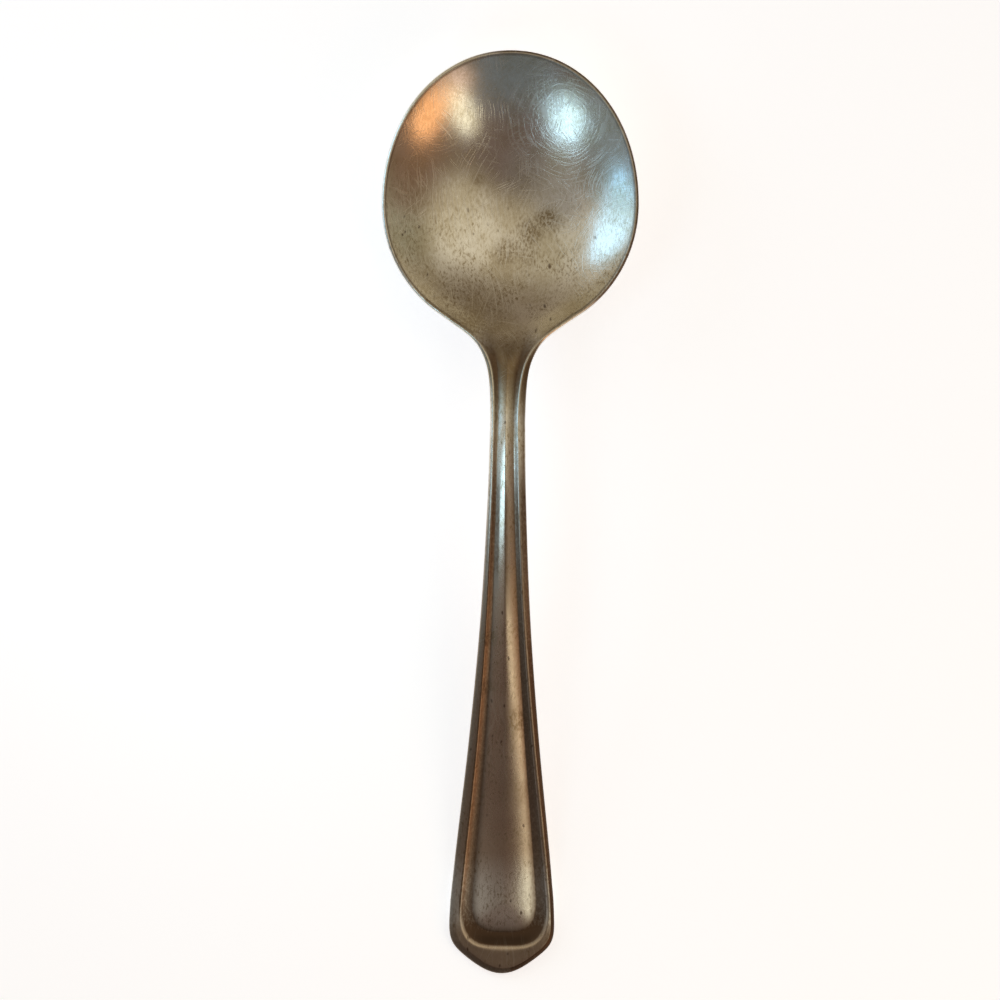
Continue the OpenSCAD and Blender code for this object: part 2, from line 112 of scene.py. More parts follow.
class SpoonSizes(bpy.types.PropertyGroup):
    """Sizes of the spoon. A station is a place along it, measured from the bowl's tip."""

    spoon_l: length("Whole length", "From tip to tip", (CAD_HIGH.y - CAD_LOW.y) / MM)
    bowl_w: length("Bowl width", "Width at the widest place", 2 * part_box("bowl")[1].x / MM)
    bowl_tip_l: length("Bowl tip", "From the bowl's tip to its widest place", 25.6)
    bowl_neck_l: length("Bowl oval", "Length of the oval that rounds the bowl to the neck", 22.1)
    stem_at: length("Slimmest place", "Station where the stem is slimmest", 62)
    stem_w: length("Stem width", "Width of the stem at its slimmest", 5.8)
    end_l: length("Round centre", "From the handle's tip back to its round centre", 12.4)
    handle_w: length("Handle width", "Width of the handle at its round centre", 17.45)
    corner_l: length("Corners", "From the handle's tip back to the corners of its end", 5.3)
    corner_w: length("Corner width", "Width between those corners", 18.24)

    bowl_depth: length("Bowl depth", "Depth of the bowl below its lip", 8.5)
    bowl_wall: length("Bowl wall", "Thickness of the metal at the bottom of the bowl", 1.25)
    lip_w: length("Lip width", "Width of the lip round the bowl", 0.5)
    lip_t: length("Lip height", "Height of the bowl's edge", 0.9)
    lip_drop: length("Lip drop", "Height that the lip falls towards the outline", 0.28)
    lip_soft: length("Lip softness", "How gently the lip turns into the hollow", 0.08)
    hollow_end: length("Hollow end", "Station where the hollow has died out", 54)
    worn: length("Worn flats", "Depth of the flats that use has worn beneath", 0.1)

    tip_lift: length("Tip lift", "Height of the bowl's tip above the lip", 0.2)
    shoulder_lift: length("Shoulder lift", "Height of the lip lines at the neck above the lip", 1.4)
    arch_lift: length("Arch", "Height of the handle's arch above the lip", 5.2)
    arch_at: length("Arch station", "Station of the top of the arch", 67)
    rest_l: length("Rest", "From the handle's tip back to the line that it rests on", 8)
    tip_turn: length("Tip turn", "Height that the handle's tip is turned up", 0.1)

    stem_t: length("Stem thickness", "Thickness in the middle of the stem", 3.1)
    stem_edge_t: length("Stem edge", "From the crest lines down to the stem's lower edge", 1.6)
    end_t: length("End thickness", "Thickness in the middle of the handle's end", 2.1)
    end_edge_t: length("End edge", "From the crest line down to the end's lower edge", 1.25)

    struck_at: length("Pattern start", "Station where the struck pattern begins to rise", 45)
    struck_l: length("Pattern rise", "Length over which the struck pattern rises", 7)
    rib_w: length("Rib width", "Width of the rib on the stem", 2.6)
    panel_foot_l: length("Panel foot", "From the handle's tip back to the foot of the panel", 7.0)
    panel_w: length("Panel width", "Width of the raised panel at the round centre", 10.8)
    stem_bevel_w: length("Stem bevel", "Width of the outer bevel on the stem", 0.75)
    bevel_w: length("Bevel width", "Width of the outer bevel on the handle", 1.0)
    bevel_drop: length("Bevel drop", "Height that the bevel falls from the bead to the edge", 0.5)
    stem_bead_w: length("Stem bead", "Width of the bead on the stem", 0.25)
    bead_w: length("Bead width", "Width of the bead on the handle", 0.5)
    bead_h: length("Bead height", "Height of the rounded bead above the crest line", 0.05)
    bead_start: length("Bead start", "Station where the bead begins to rise from the lip", 40)
    tip_face_l: length("Tip face", "Length of the plain face on the centre line of the end", 4.4)
    tip_face_drop: length("Tip face drop", "Height that the face falls towards the bevel", 0.25)
    stem_groove_d: length("Stem grooves", "Depth of the grooves of the stem below the bead", 0.36)
    groove_d: length("Groove depth", "Depth of the groove of the handle below the bead", 0.5)
    rib_crown: length("Rib crown", "Height of the rib above the bead", 0.32)
    panel_crown: length("Panel crown", "Height of the panel above the bead", 0.4)
    stem_shift: offset("Stem shift", "Sideways shift of the struck pattern on the stem", -0.3)
    handle_shift: offset("Handle shift", "Sideways shift of the struck pattern on the handle", 0.35)

    edge_round: length("Edge round", "Radius that polishing has left on the outer edges", 0.2)
    wave_h: length("Wave height", "Height of the slight waves in the struck faces", 0.02)
    wave_l: length("Wave length", "Length of the slight waves in the struck faces", 7)


class PlateFinish(bpy.types.PropertyGroup):
    """Colours and worn finish of the old silver plate, whose silver, dark and black also paint
    highlights and shade.
    """

    # Silver is also the colour of the painted highlights and of the painted glints in the swirls
    silver: tint("Silver", "Plate that use keeps bright", (0.8, 0.77, 0.7))
    patina: tint("Patina", "Warm film over the plate", (0.6, 0.54, 0.42))
    brown: tint("Brown", "Brown tarnish on the handle", (0.51, 0.405, 0.31))
    # Dark also paints the shade in the recesses and over the neck
    dark: tint("Dark", "Tarnish in the grooves and stains", (0.11, 0.068, 0.042))
    stain: tint("Stain", "Brown stains in the bowl", (0.25, 0.18, 0.095))
    # Black also paints the deepest shade in the grooves and on the lip's outer edge
    black: tint("Black", "Oldest tarnish in the deepest corners", (0.03, 0.018, 0.012))
    roughness: number("Roughness", "Roughness of the satin plate", 0.17)
    relief: length("Scratch depth", "Depth of the scratches and of the fine grain", 0.004)


# Straight scratches: turn in degrees from the spoon's length, length and width in millimetres,
# and the least strength of the grain that shows
SCRATCHES = (
    (6, 7.0, 0.26, 0.56),
    (-22, 6.0, 0.26, 0.6),
    (40, 5.0, 0.24, 0.62),
    (84, 7.0, 0.24, 0.63),
    (-60, 5.0, 0.24, 0.63),
)
# Swirls of scratches round the places where the softbox highlights fall in the bowl; their
# silver colour paints the glints that light draws round a highlight: middle across and along the
# spoon, even radius and faded radius, in millimetres, and strength
SWIRLS = (
    (9.2, 66.5, 8.5, 15.0, 1.0),
    (21.0, 44.0, 8.0, 15.0, 0.8),
    (-13.3, 67.0, 5.0, 9.0, 0.5),
)
# Stains: middle across and along the spoon and radius, in millimetres, and strength
STAINS = (
    (6.3, 49.3, 2.2, 1.0),
    (3.8, 47.2, 2.6, 0.85),
    (-0.5, 44.2, 2.6, 0.8),
    (2.9, 44.2, 2.4, 0.55),
    (-4.8, 57.0, 1.2, 0.6),
    (-8.0, 35.5, 6.0, 0.5),
    (-3.5, 33.5, 4.0, 0.45),
    (-15.0, 41.0, 3.5, 0.3),
    (-2.5, -21.0, 1.4, 0.7),
    (-2.9, -29.0, 1.6, 0.6),
    (2.2, -34.4, 2.2, 0.6),
    (1.8, -46.0, 3.0, 0.3),
)


class Marks:
    """Settings of the marks on the plate. Places and distances are in millimetres."""

    # Noises: turns in each millimetre, detail and roughness, after any stretch of their places
    cloud = (0.12, 3.0, 0.6)
    brush_stretch = (2.9, 1.2, 2.9)
    brush = (1.0, 4.0, 0.65)
    speck_stretch = (3.0, 1.6, 3.0)
    speck = (1.0, 3.0, 0.7)
    pit_stretch = (0.75, 0.4, 0.0)
    scratch_grain = (1.0, 1.0)
    swirl_grain = (1.0, 2.0)
    scratch_patch = (0.11, 1.0)
    blotch_patch = (0.17, 2.0)
    pit_patch = (0.2, 2.0)
    brush_in_film = 0.6

    # A slow noise that bends the marks: turns in each millimetre, detail and the longest bend
    bend_scale = 0.12
    bend_detail = 1.0
    bend = 3.0
    half_bend = bend / 2
    # Rings of a swirl in each millimetre, and breaks in them in each radian
    rings = 3.2
    breaks = 1.7

    # Soft steps along the spoon: start and end, and what they give there if not 0 and 1
    on_handle = (20.0, -26.0)
    near_neck = (62.0, 44.0)
    fewer_scratches = (37.0, 24.0, 1.0, 0.25)
    rubbed = ((-71.0, -67.0), (-56.0, -63.0))
    # Painted shade over the neck that dulls its reflections
    painted_neck_shade = ((17.0, 24.0), (30.5, 24.5))
    # Soft steps over the distance from a swirl's middle, and shares of a stain's radius
    swirl_middle = (1.5, 4.0)
    stain_fade = (1.4, 0.3)
    # Soft steps over the strength of a noise or an attribute
    film_shown = (0.6, 1.0)
    brushed = (0.35, 0.65, 1.0, 0.88)
    blotches_shown = (0.48, 0.68)
    blotch_patches = (0.38, 0.6, 0.2, 0.75)
    stain_specks = (0.42, 0.58, 0.3, 1.0)
    pits_shown = (0.2, 0.07)
    pit_patches = (0.47, 0.58)
    grime_and_shade_specks = (0.2, 0.6, 0.75, 1.0)
    black_shown = (1.0, 1.7, 0.0, 0.6)
    wear_and_highlight_spared = (0.0, 0.6, 1.0, 0.1)
    shining = (0.1, 0.8, 0.5, 0.08)
    fine_grain = (0.0, 1.0, 0.9, 0.3)
    scratch_softness = 0.07
    scratch_patches = (0.46, 0.64)
    swirls_shown = (0.5, 0.66)

    # Shares of the scratch depth that the scratches and the pits go below the fine grain
    scratch_depth = 1.2
    pit_depth = 1.5


class StudioSetup(bpy.types.PropertyGroup):
    """The camera, the floor and the lights."""

    camera_h: length("Camera height", "Height of the camera above the floor", 600)
    view_w: length("View width", "Width that the camera sees at the outline's height", 167.66)
    outline_h: length("Outline height", "Mean height of the outline above the floor", 6)
    view_x: offset("View x", "Place below the camera, across the spoon", -1.12)
    view_y: offset("View y", "Place below the camera, along the spoon", 2.49)
    view_roll: turn("Roll", "Turn of the camera about its own axis", 0.67)
    floor_r: length("Floor", "Radius of the floor", 5000)
    floor_gap: length("Floor gap", "Gap that keeps the floor clear of the worn flats", 0.01)
    floor_tint: tint("Floor colour", "Pale colour of the floor", (0.89, 0.9, 0.93))
    floor_glow: number("Floor glow", "Light that the pale floor adds of its own", 0.66)
    light_scale: number("Light scale", "Factor on the light of every softbox", 1.0)


# Zones of the soft room: azimuth from +Y towards +X, elevation, radius of the even middle and
# radius where the zone has faded, all in degrees, and the colour
ROOM_ZONES = (
    (20, 58, 10, 33, (0.66, 0.58, 0.44)),
    (62, 55, 5, 31, (0.8, 0.72, 0.56)),
    (5, 0, 15, 56, (0.24, 0.185, 0.13)),
    (78, 8, 13, 34, (0.34, 0.31, 0.22)),
    (310, 50, 5, 30, (0.58, 0.52, 0.4)),
    (262, 58, 5, 25, (0.32, 0.29, 0.26)),
    (104, 22, 8, 30, (0.2, 0.12, 0.075)),
    (180, 22, 15, 38, (0.15, 0.168, 0.18)),
    (250, 12, 10, 32, (0.23, 0.265, 0.285)),
    (144, 22, 4, 14, (0.95, 0.68, 0.54)),
    (218, 77, 4, 16, (0.16, 0.13, 0.11)),
)
# The room on the near and the far side, and where along Y one turns into the other
ROOM_NEAR = (0.15, 0.103, 0.084)
ROOM_FAR = (0.57, 0.5, 0.38)
ROOM_TURN = (-0.09, 0.1)
FLOOR_SIDES = 96
FLOOR_ROUGHNESS = 0.9
CAMERA_CLIP_END = 20.0
# Softboxes: name, azimuth and elevation in degrees as the bowl sees them, distance in metres,
# width and height in degrees, and the colour of the light
SOFTBOXES = (
    ("window_near", 229, 45.5, 0.113, 19, 22, (1.45, 2.3, 2.9)),
    ("window_side", 286, 18.5, 0.4, 43, 28, (0.52, 1.12, 1.7)),
    ("pale_lamp", 138.5, 41, 0.4, 13, 28, (1.4, 1.34, 1.03)),
    ("warm_lamp", 124, 23, 1.6, 24, 20, (1.75, 0.84, 0.36)),
)


def between(a, b, f):
    return a + (b - a) * f


def bounded(f):
    return max(0.0, min(1.0, f))


def ease(f):
    g = bounded(f)
    return g * g * (3 - 2 * g)


def ramp(a, b, x):
    return ease((x - a) / (b - a))


def soft_positive(a, softness):
    """a where it is above zero and nothing below, with a rounded turn between."""
    return (a + math.sqrt(a * a + softness * softness)) / 2


def curve(rows, x):
    """A smooth curve through the rows of a table, read at x."""
    i = 0
    while i < len(rows) - 2 and x >= rows[i + 1][0]:
        i += 1

    def steepness(k):
        a = max(k - 1, 0)
        b = min(k + 1, len(rows) - 1)
        return (rows[b][1] - rows[a][1]) / (rows[b][0] - rows[a][0])

    run = rows[i + 1][0] - rows[i][0]
    f = bounded((x - rows[i][0]) / run)
    g = 1 - f
    start = rows[i][1] * g * g * (1 + 2 * f) + steepness(i) * run * f * g * g
    end = rows[i + 1][1] * f * f * (1 + 2 * g) - steepness(i + 1) * run * f * f * g
    return start + end


# Distances from the pattern's middle to the outline, to where its rounding starts, and to the
# bevel, the crest line inside the bead and the foot of the panel or rib
Lines = namedtuple("Lines", "edge rounded bevel crest foot")


class Form:
    """The two faces of the struck metal, as heights over places on the table."""

    tip_power = 2.06
    hollow_soft = 1.5
    fall_power = 1.2
    slant_angle = math.radians(50.5)
    flare_angle = math.radians(3)
    outline_power = 10.75
    crest_power = 3.2
    foot_power = 3
    stem_back_power = 2.2
    end_back_power = 4
    rib_power = 1.2
    panel_power = 1.7
    stem_groove_power = 1.2
    groove_power = 2
    bevel_power = 1.4
    shoulder_share = 0.82
    climb_share = 0.62
    least_share = 0.02
    spread_share = 0.62

    def __init__(self, size):
        self.size = size
        self.wear_and_light = TarnishWearAndLight(self)
        self.half_w = size.bowl_w / 2
        self.stem_half = size.stem_w / 2
        self.handle_half = size.handle_w / 2
        self.panel_half = size.panel_w / 2
        self.rib_half = size.rib_w / 2
        self.neck_at = station_of("bowl")
        self.neck_end = station_of("neck")
        self.handle_at = station_of("stem")
        self.end_at = size.spoon_l - size.end_l
        self.rest_at = size.spoon_l - size.rest_l
        self.panel_end_l = size.end_l - size.panel_foot_l
        self.mouth_share = 1 - (1 - size.lip_w / self.half_w) ** 2
        self.lip_z = size.bowl_depth + size.bowl_wall - size.worn
        self.rest_z = size.end_t - size.worn
        self.arch_z = self.lip_z + size.arch_lift
        self.outer_depth = size.bowl_depth + size.bowl_wall - size.lip_t
        self.shoulder_at = size.bowl_tip_l + size.bowl_neck_l * self.shoulder_share
        self.shoulder_half = self.half_w * math.sqrt(1 - self.shoulder_share**2)
        self.make_climb()
        self.make_end()

    def make_climb(self):
        """Heights of the crest lines, from the bowl's lip to the arch."""
        size = self.size
        shoulder_z = self.lip_z + size.shoulder_lift
        neck_z = between(shoulder_z, self.arch_z, self.climb_share)
        self.climb = (
            (2 * size.bowl_tip_l - self.neck_at, shoulder_z),
            (size.bowl_tip_l, self.lip_z),
            (self.neck_at, shoulder_z),
            (self.neck_end, neck_z),
            (size.arch_at, self.arch_z),
            (2 * size.arch_at - self.neck_end, neck_z),
        )

    def make_end(self):
        """The straight sides of the handle's end, as distances from its round centre."""
        size = self.size
        shift = size.handle_shift
        low_l = size.end_l - size.corner_l
        slant = size.corner_w / 2 * math.cos(self.slant_angle) + low_l * math.sin(self.slant_angle)
        bevel_half = self.handle_half - size.bevel_w
        outer_slants = self.slants(slant, shift)
        full_pull = size.end_l**-self.outline_power
        slants_reach = self.reach(outer_slants, self.outline_power, math.pi / 2)
        pull = max(full_pull - slants_reach**-self.outline_power, self.least_share * full_pull)
        blunt = pull ** (-1 / self.outline_power)
        inner_slants = self.slants(slant - size.bevel_w, 0)
        self.outline_sides = self.long_sides(self.handle_half, blunt, shift) + outer_slants
        self.bevel_sides = self.long_sides(bevel_half, blunt - size.bevel_w, 0) + inner_slants
        crest_half = bevel_half - size.bead_w
        self.crest_sides = self.long_sides(crest_half, size.end_l - size.tip_face_l, 0)

    def long_sides(self, half, tip, shift):
        d = half * math.cos(self.flare_angle)
        return [
            self.side(-self.flare_angle, d, shift),
            self.side(math.pi / 2, tip, shift),
            self.side(math.pi + self.flare_angle, d, shift),
        ]

    def slants(self, d, shift):
        angles = (self.slant_angle, math.pi - self.slant_angle)
        return [self.side(angle, d, shift) for angle in angles]

    @staticmethod
    def side(angle, d, shift):
        return angle, d - shift * math.cos(angle)

    @staticmethod
    def reach(sides, power, angle):
        """How far a shape of straight sides with rounded corners reaches at an angle."""
        return sum((max(0.0, math.cos(angle - a)) / d) ** power for a, d in sides) ** (-1 / power)

    def half_at(self, s):
        """Half the width of the outline, up to the round centre of the handle's end."""
        size = self.size
        if s < size.bowl_tip_l:
            f = bounded(1 - s / size.bowl_tip_l)
            return self.half_w * (1 - f**self.tip_power) ** (1 / self.tip_power)
        if s < self.shoulder_at:
            return self.half_w * math.sqrt(1 - ((s - size.bowl_tip_l) / size.bowl_neck_l) ** 2)
        if s < size.stem_at:
            f = (s - self.shoulder_at) / (size.stem_at - self.shoulder_at)
            return between(self.shoulder_half, self.stem_half, curve(FLARE_SHARES, f))
        f = (s - size.stem_at) / (self.end_at - size.stem_at)
        return between(self.stem_half, self.handle_half, curve(GROWTH_SHARES, f))

    def crest(self, s):
        """Height of the lip and of the crest lines along the spoon."""
        size = self.size
        if s < size.bowl_tip_l:
            return self.lip_z + size.tip_lift * (1 - s / size.bowl_tip_l) ** 2
        if s < size.arch_at:
            return curve(self.climb, s)
        if s < self.rest_at:
            f = (s - size.arch_at) / (self.rest_at - size.arch_at)
            return between(self.arch_z, self.rest_z, ease(f**self.fall_power))
        return self.rest_z + size.tip_turn * ((s - self.rest_at) / size.rest_l) ** 2

    def changing(self, lip, stem, end, s):
        """A size that changes from the lip to the stem and on to the round centre."""
        early = ramp(self.neck_at, self.size.stem_at, s)
        late = ramp(self.size.stem_at, self.end_at, s)
        return lip + (stem - lip) * early + (end - stem) * late

    def growing(self, stem, end, s):
        """A size that changes only from the stem to the round centre."""
        return between(stem, end, ramp(self.size.stem_at, self.end_at, s))

    def shift_at(self, s):
        return self.changing(0, self.size.stem_shift, self.size.handle_shift, s)

    def bevel_at(self, s):
        return self.changing(self.size.lip_w, self.size.stem_bevel_w, self.size.bevel_w, s)

    def bead_at(self, s):
        return self.growing(self.size.stem_bead_w, self.size.bead_w, s)

    def edge_t_at(self, s):
        return self.changing(self.size.lip_t, self.size.stem_edge_t, self.size.end_edge_t, s)

    def panel_half_at(self, s):
        if s < self.size.stem_at:
            return self.rib_half + self.spread_share * (self.half_at(s) - self.stem_half)
        stem_share = self.rib_half / self.stem_half
        end_share = self.panel_half / self.handle_half
        f = bounded((s - self.size.stem_at) / (self.end_at - self.size.stem_at))
        return self.half_at(s) * between(stem_share, end_share, f)

    def relief_at(self, s):
        """How much of the grooves, rib and bead has risen at a station."""
        return ramp(self.size.struck_at, self.size.struck_at + self.size.struck_l, s)

    def bead_relief_at(self, s):
        """How much of the bead has risen at a station."""
        return ramp(self.size.bead_start, self.neck_end, s)

    def bevel_drop_at(self, s):
        return self.changing(self.size.lip_drop, self.size.bevel_drop, self.size.bevel_drop, s)

    def from_outline(self, x, s, gap):
        """The distance to the outline from a place that lies a gap inside it, straight across."""
        if s < self.size.bowl_tip_l:
            return self.half_w * (1 - self.nearness(x, s))
        step = self.size.edge_round
        slope = (self.half_at(s + step) - self.half_at(s - step)) / (2 * step)
        return gap / math.hypot(1, slope)

    def rounding(self, d):
        """How far polishing has taken the edge back at the distance d from the outline."""
        r = self.size.edge_round
        gap = r - bounded(d / r) * r
        return r - math.sqrt(r * r - gap * gap)

    def nearness(self, x, s, least=0.0):
        """How near a place is to the outline: 0 in the middle of the bowl, 1 on the outline."""
        if s < self.size.bowl_tip_l:
            keep = (self.half_at(s) / self.half_w) ** 2
        else:
            t = bounded((s - self.size.bowl_tip_l) / (self.size.hollow_end - self.size.bowl_tip_l))
            keep = between((1 - t * t) ** (1 + self.hollow_soft * t * t), 1, least)
        edge = 0 if x == 0 else abs(x) / self.half_at(s)
        return math.sqrt(bounded(1 - keep * (1 - edge * edge)))

    @staticmethod
    def dish(depth, half, d):
        """Height of a round dish's mouth above its floor at d, below zero beyond the mouth."""
        r = (half * half + depth * depth) / (2 * depth)
        return math.sqrt(r * r - d * d) - (r - depth)

    def hollow(self, x, s):
        if s >= self.size.hollow_end:
            return 0.0
        d = self.half_w * self.nearness(x, s, self.mouth_share)
        raw = self.dish(self.size.bowl_depth, self.half_w - self.size.lip_w, d)
        softness = self.size.lip_soft * (1 - ramp(self.neck_at, self.size.hollow_end, s))
        return soft_positive(raw, softness)

    def under(self, x, s):
        if s >= self.size.hollow_end:
            return 0.0
        return self.dish(self.outer_depth, self.half_w, self.half_w * self.nearness(x, s))

    def pattern(self, r, lines, s):
        """Height of the struck pattern inside the bevel, at the distance r from its own middle."""
        size = self.size
        depth = self.growing(size.stem_groove_d, size.groove_d, s)
        if r <= lines.foot:
            power = self.growing(self.rib_power, self.panel_power, s)
            crown = self.growing(size.rib_crown, size.panel_crown, s)
            struck = (depth + crown) * (1 - (r / lines.foot) ** power) - depth
            return self.relief_at(s) * struck
        if r <= lines.crest:
            f = (r - lines.foot) / (lines.crest - lines.foot)
            power = self.growing(self.stem_groove_power, self.groove_power, s)
            return self.relief_at(s) * depth * (f**power - 1)
        f = bounded((r - lines.crest) / self.bead_at(s))
        face_l = size.tip_face_l - size.bevel_w - size.bead_w
        fallen = max(0.0, min(r, lines.bevel) - lines.crest - self.bead_at(s)) / face_l
        rounded = 4 * size.bead_h * f * (1 - f)
        return self.bead_relief_at(s) * rounded - size.tip_face_drop * fallen

    def waves(self, x, s, face):
        """Slight waves in a face, as years of use and polishing leave them."""
        place = Vector((x, s, face * self.size.spoon_l)) / self.size.wave_l
        return self.size.wave_h * noise.noise(place)

    def back(self, f, s, under):
        """Height of the lower face at the share f of the way from the middle to the edge."""
        size = self.size
        power = self.growing(self.stem_back_power, self.end_back_power, s)
        middle_t = self.growing(size.stem_t, size.end_t, s)
        grown = ramp(size.bowl_tip_l + size.bowl_depth, self.neck_end, s)
        belly = grown * (middle_t - self.edge_t_at(s)) * (1 - bounded(f) ** power)
        return self.crest(s) - self.edge_t_at(s) - under - belly

    def lines_at(self, s, hand):
        """The lines of the pattern at a station: hand is -1 on the left and 1 on the right."""
        edge = self.half_at(s) - hand * self.shift_at(s)
        bevel = self.half_at(s) - self.bevel_at(s)
        crest = bevel - self.bead_at(s)
        return Lines(edge, edge - self.size.edge_round, bevel, crest, self.panel_half_at(s))

    def end_lines(self, angle):
        """The lines of the pattern beyond the round centre, at an angle about it."""
        across = abs(math.cos(angle) / self.panel_half) ** self.foot_power
        along = abs(math.sin(angle) / self.panel_end_l) ** self.foot_power
        edge = self.reach(self.outline_sides, self.outline_power, angle)
        return Lines(
            edge=edge,
            rounded=edge - self.size.edge_round,
            bevel=self.reach(self.bevel_sides, self.outline_power, angle),
            crest=self.reach(self.crest_sides, self.crest_power, angle),
            foot=(across + along) ** (-1 / self.foot_power),
        )

    @staticmethod
    def bevel_share(r, lines):
        return bounded((r - lines.bevel) / (lines.edge - lines.bevel))

    def spot(self, x, s, face):
        """A place with its tarnish and painted shade, and its brightness from use and painted
        highlights,
        up to the round centre: face is 1 on the front, 0 on the back.
        """
        hand = -1 if x < self.shift_at(s) else 1
        lines = self.lines_at(s, hand)
        r = abs(x - self.shift_at(s))
        d = self.from_outline(x, s, lines.edge - r)
        if not face:
            f = 0 if x == 0 else abs(x) / self.half_at(s)
            return self.back_spot(x, s, f, d, self.under(x, s))
        lip_share = d / self.size.lip_w
        f = bounded(1 - lip_share) if s < self.size.bowl_tip_l else self.bevel_share(r, lines)
        z = self.crest(s) - self.hollow(x, s) + self.pattern(r, lines, s)
        z -= self.bevel_drop_at(s) * f**self.bevel_power + self.rounding(d)
        wear_and_light = zip(self.wear_and_light.struck(r, lines, s, hand), self.wear_and_light.lip(x, s, lip_share))
        return self.settled(x, s, z, face), [max(pair) for pair in wear_and_light]

    def end_spot(self, angle, r, lines, face):
        """A place with its tarnish and painted shade, and its brightness from use and painted
        highlights, beyond the round centre, at an angle about it.
        """
        s = self.end_at + r * math.sin(angle)
        x = self.size.handle_shift + r * math.cos(angle)
        d = lines.edge - r
        if not face:
            return self.back_spot(x, s, r / lines.edge, d, 0)
        z = self.crest(s) + self.pattern(r, lines, s)
        fallen = self.bevel_share(r, lines) ** self.bevel_power
        z -= self.size.bevel_drop * fallen + self.rounding(d)
        return self.settled(x, s, z, face), self.wear_and_light.struck(r, lines, s, math.cos(angle))

    def back_spot(self, x, s, f, d, under):
        """A place on the back, bright where it is worn, at the share f of the way to the edge."""
        z = self.back(f, s, under) + self.rounding(d)
        return self.settled(x, s, z, 0), (0.0, bounded(1 - z / self.size.worn))

    def settled(self, x, s, z, face):
        """The place in the frame, with the slight waves, no lower than the table."""
        z = min(z + self.waves(x, s, face), CAD_HIGH.z)
        return Vector((x, max(CAD_HIGH.y - s, CAD_LOW.y), max(z, CAD_LOW.z)))


# Tarnish and painted shade in the recesses: shares of the whole length, and how dark they are
# there
TARNISH_AND_SHADE_SHARES = (
    (0, 0.5), (0.28, 0.8), (0.34, 0.9), (0.38, 0.7), (0.43, 0.3), (0.48, 0.85),
    (0.54, 0.85), (0.6, 0.8), (0.75, 0.85), (0.9, 0.8), (0.95, 1), (1, 1),
)


def within(zone, s):
    """A soft window, which comes up over the first two stations and goes down over the last."""
    start, full, last, end = zone
    return ramp(start, full, s) * ramp(end, last, s)


def line(half, f):
    """A line that fades from 1 where f is 0 to nothing at the half width on both sides."""
    return bounded(1 - abs(f) / half)


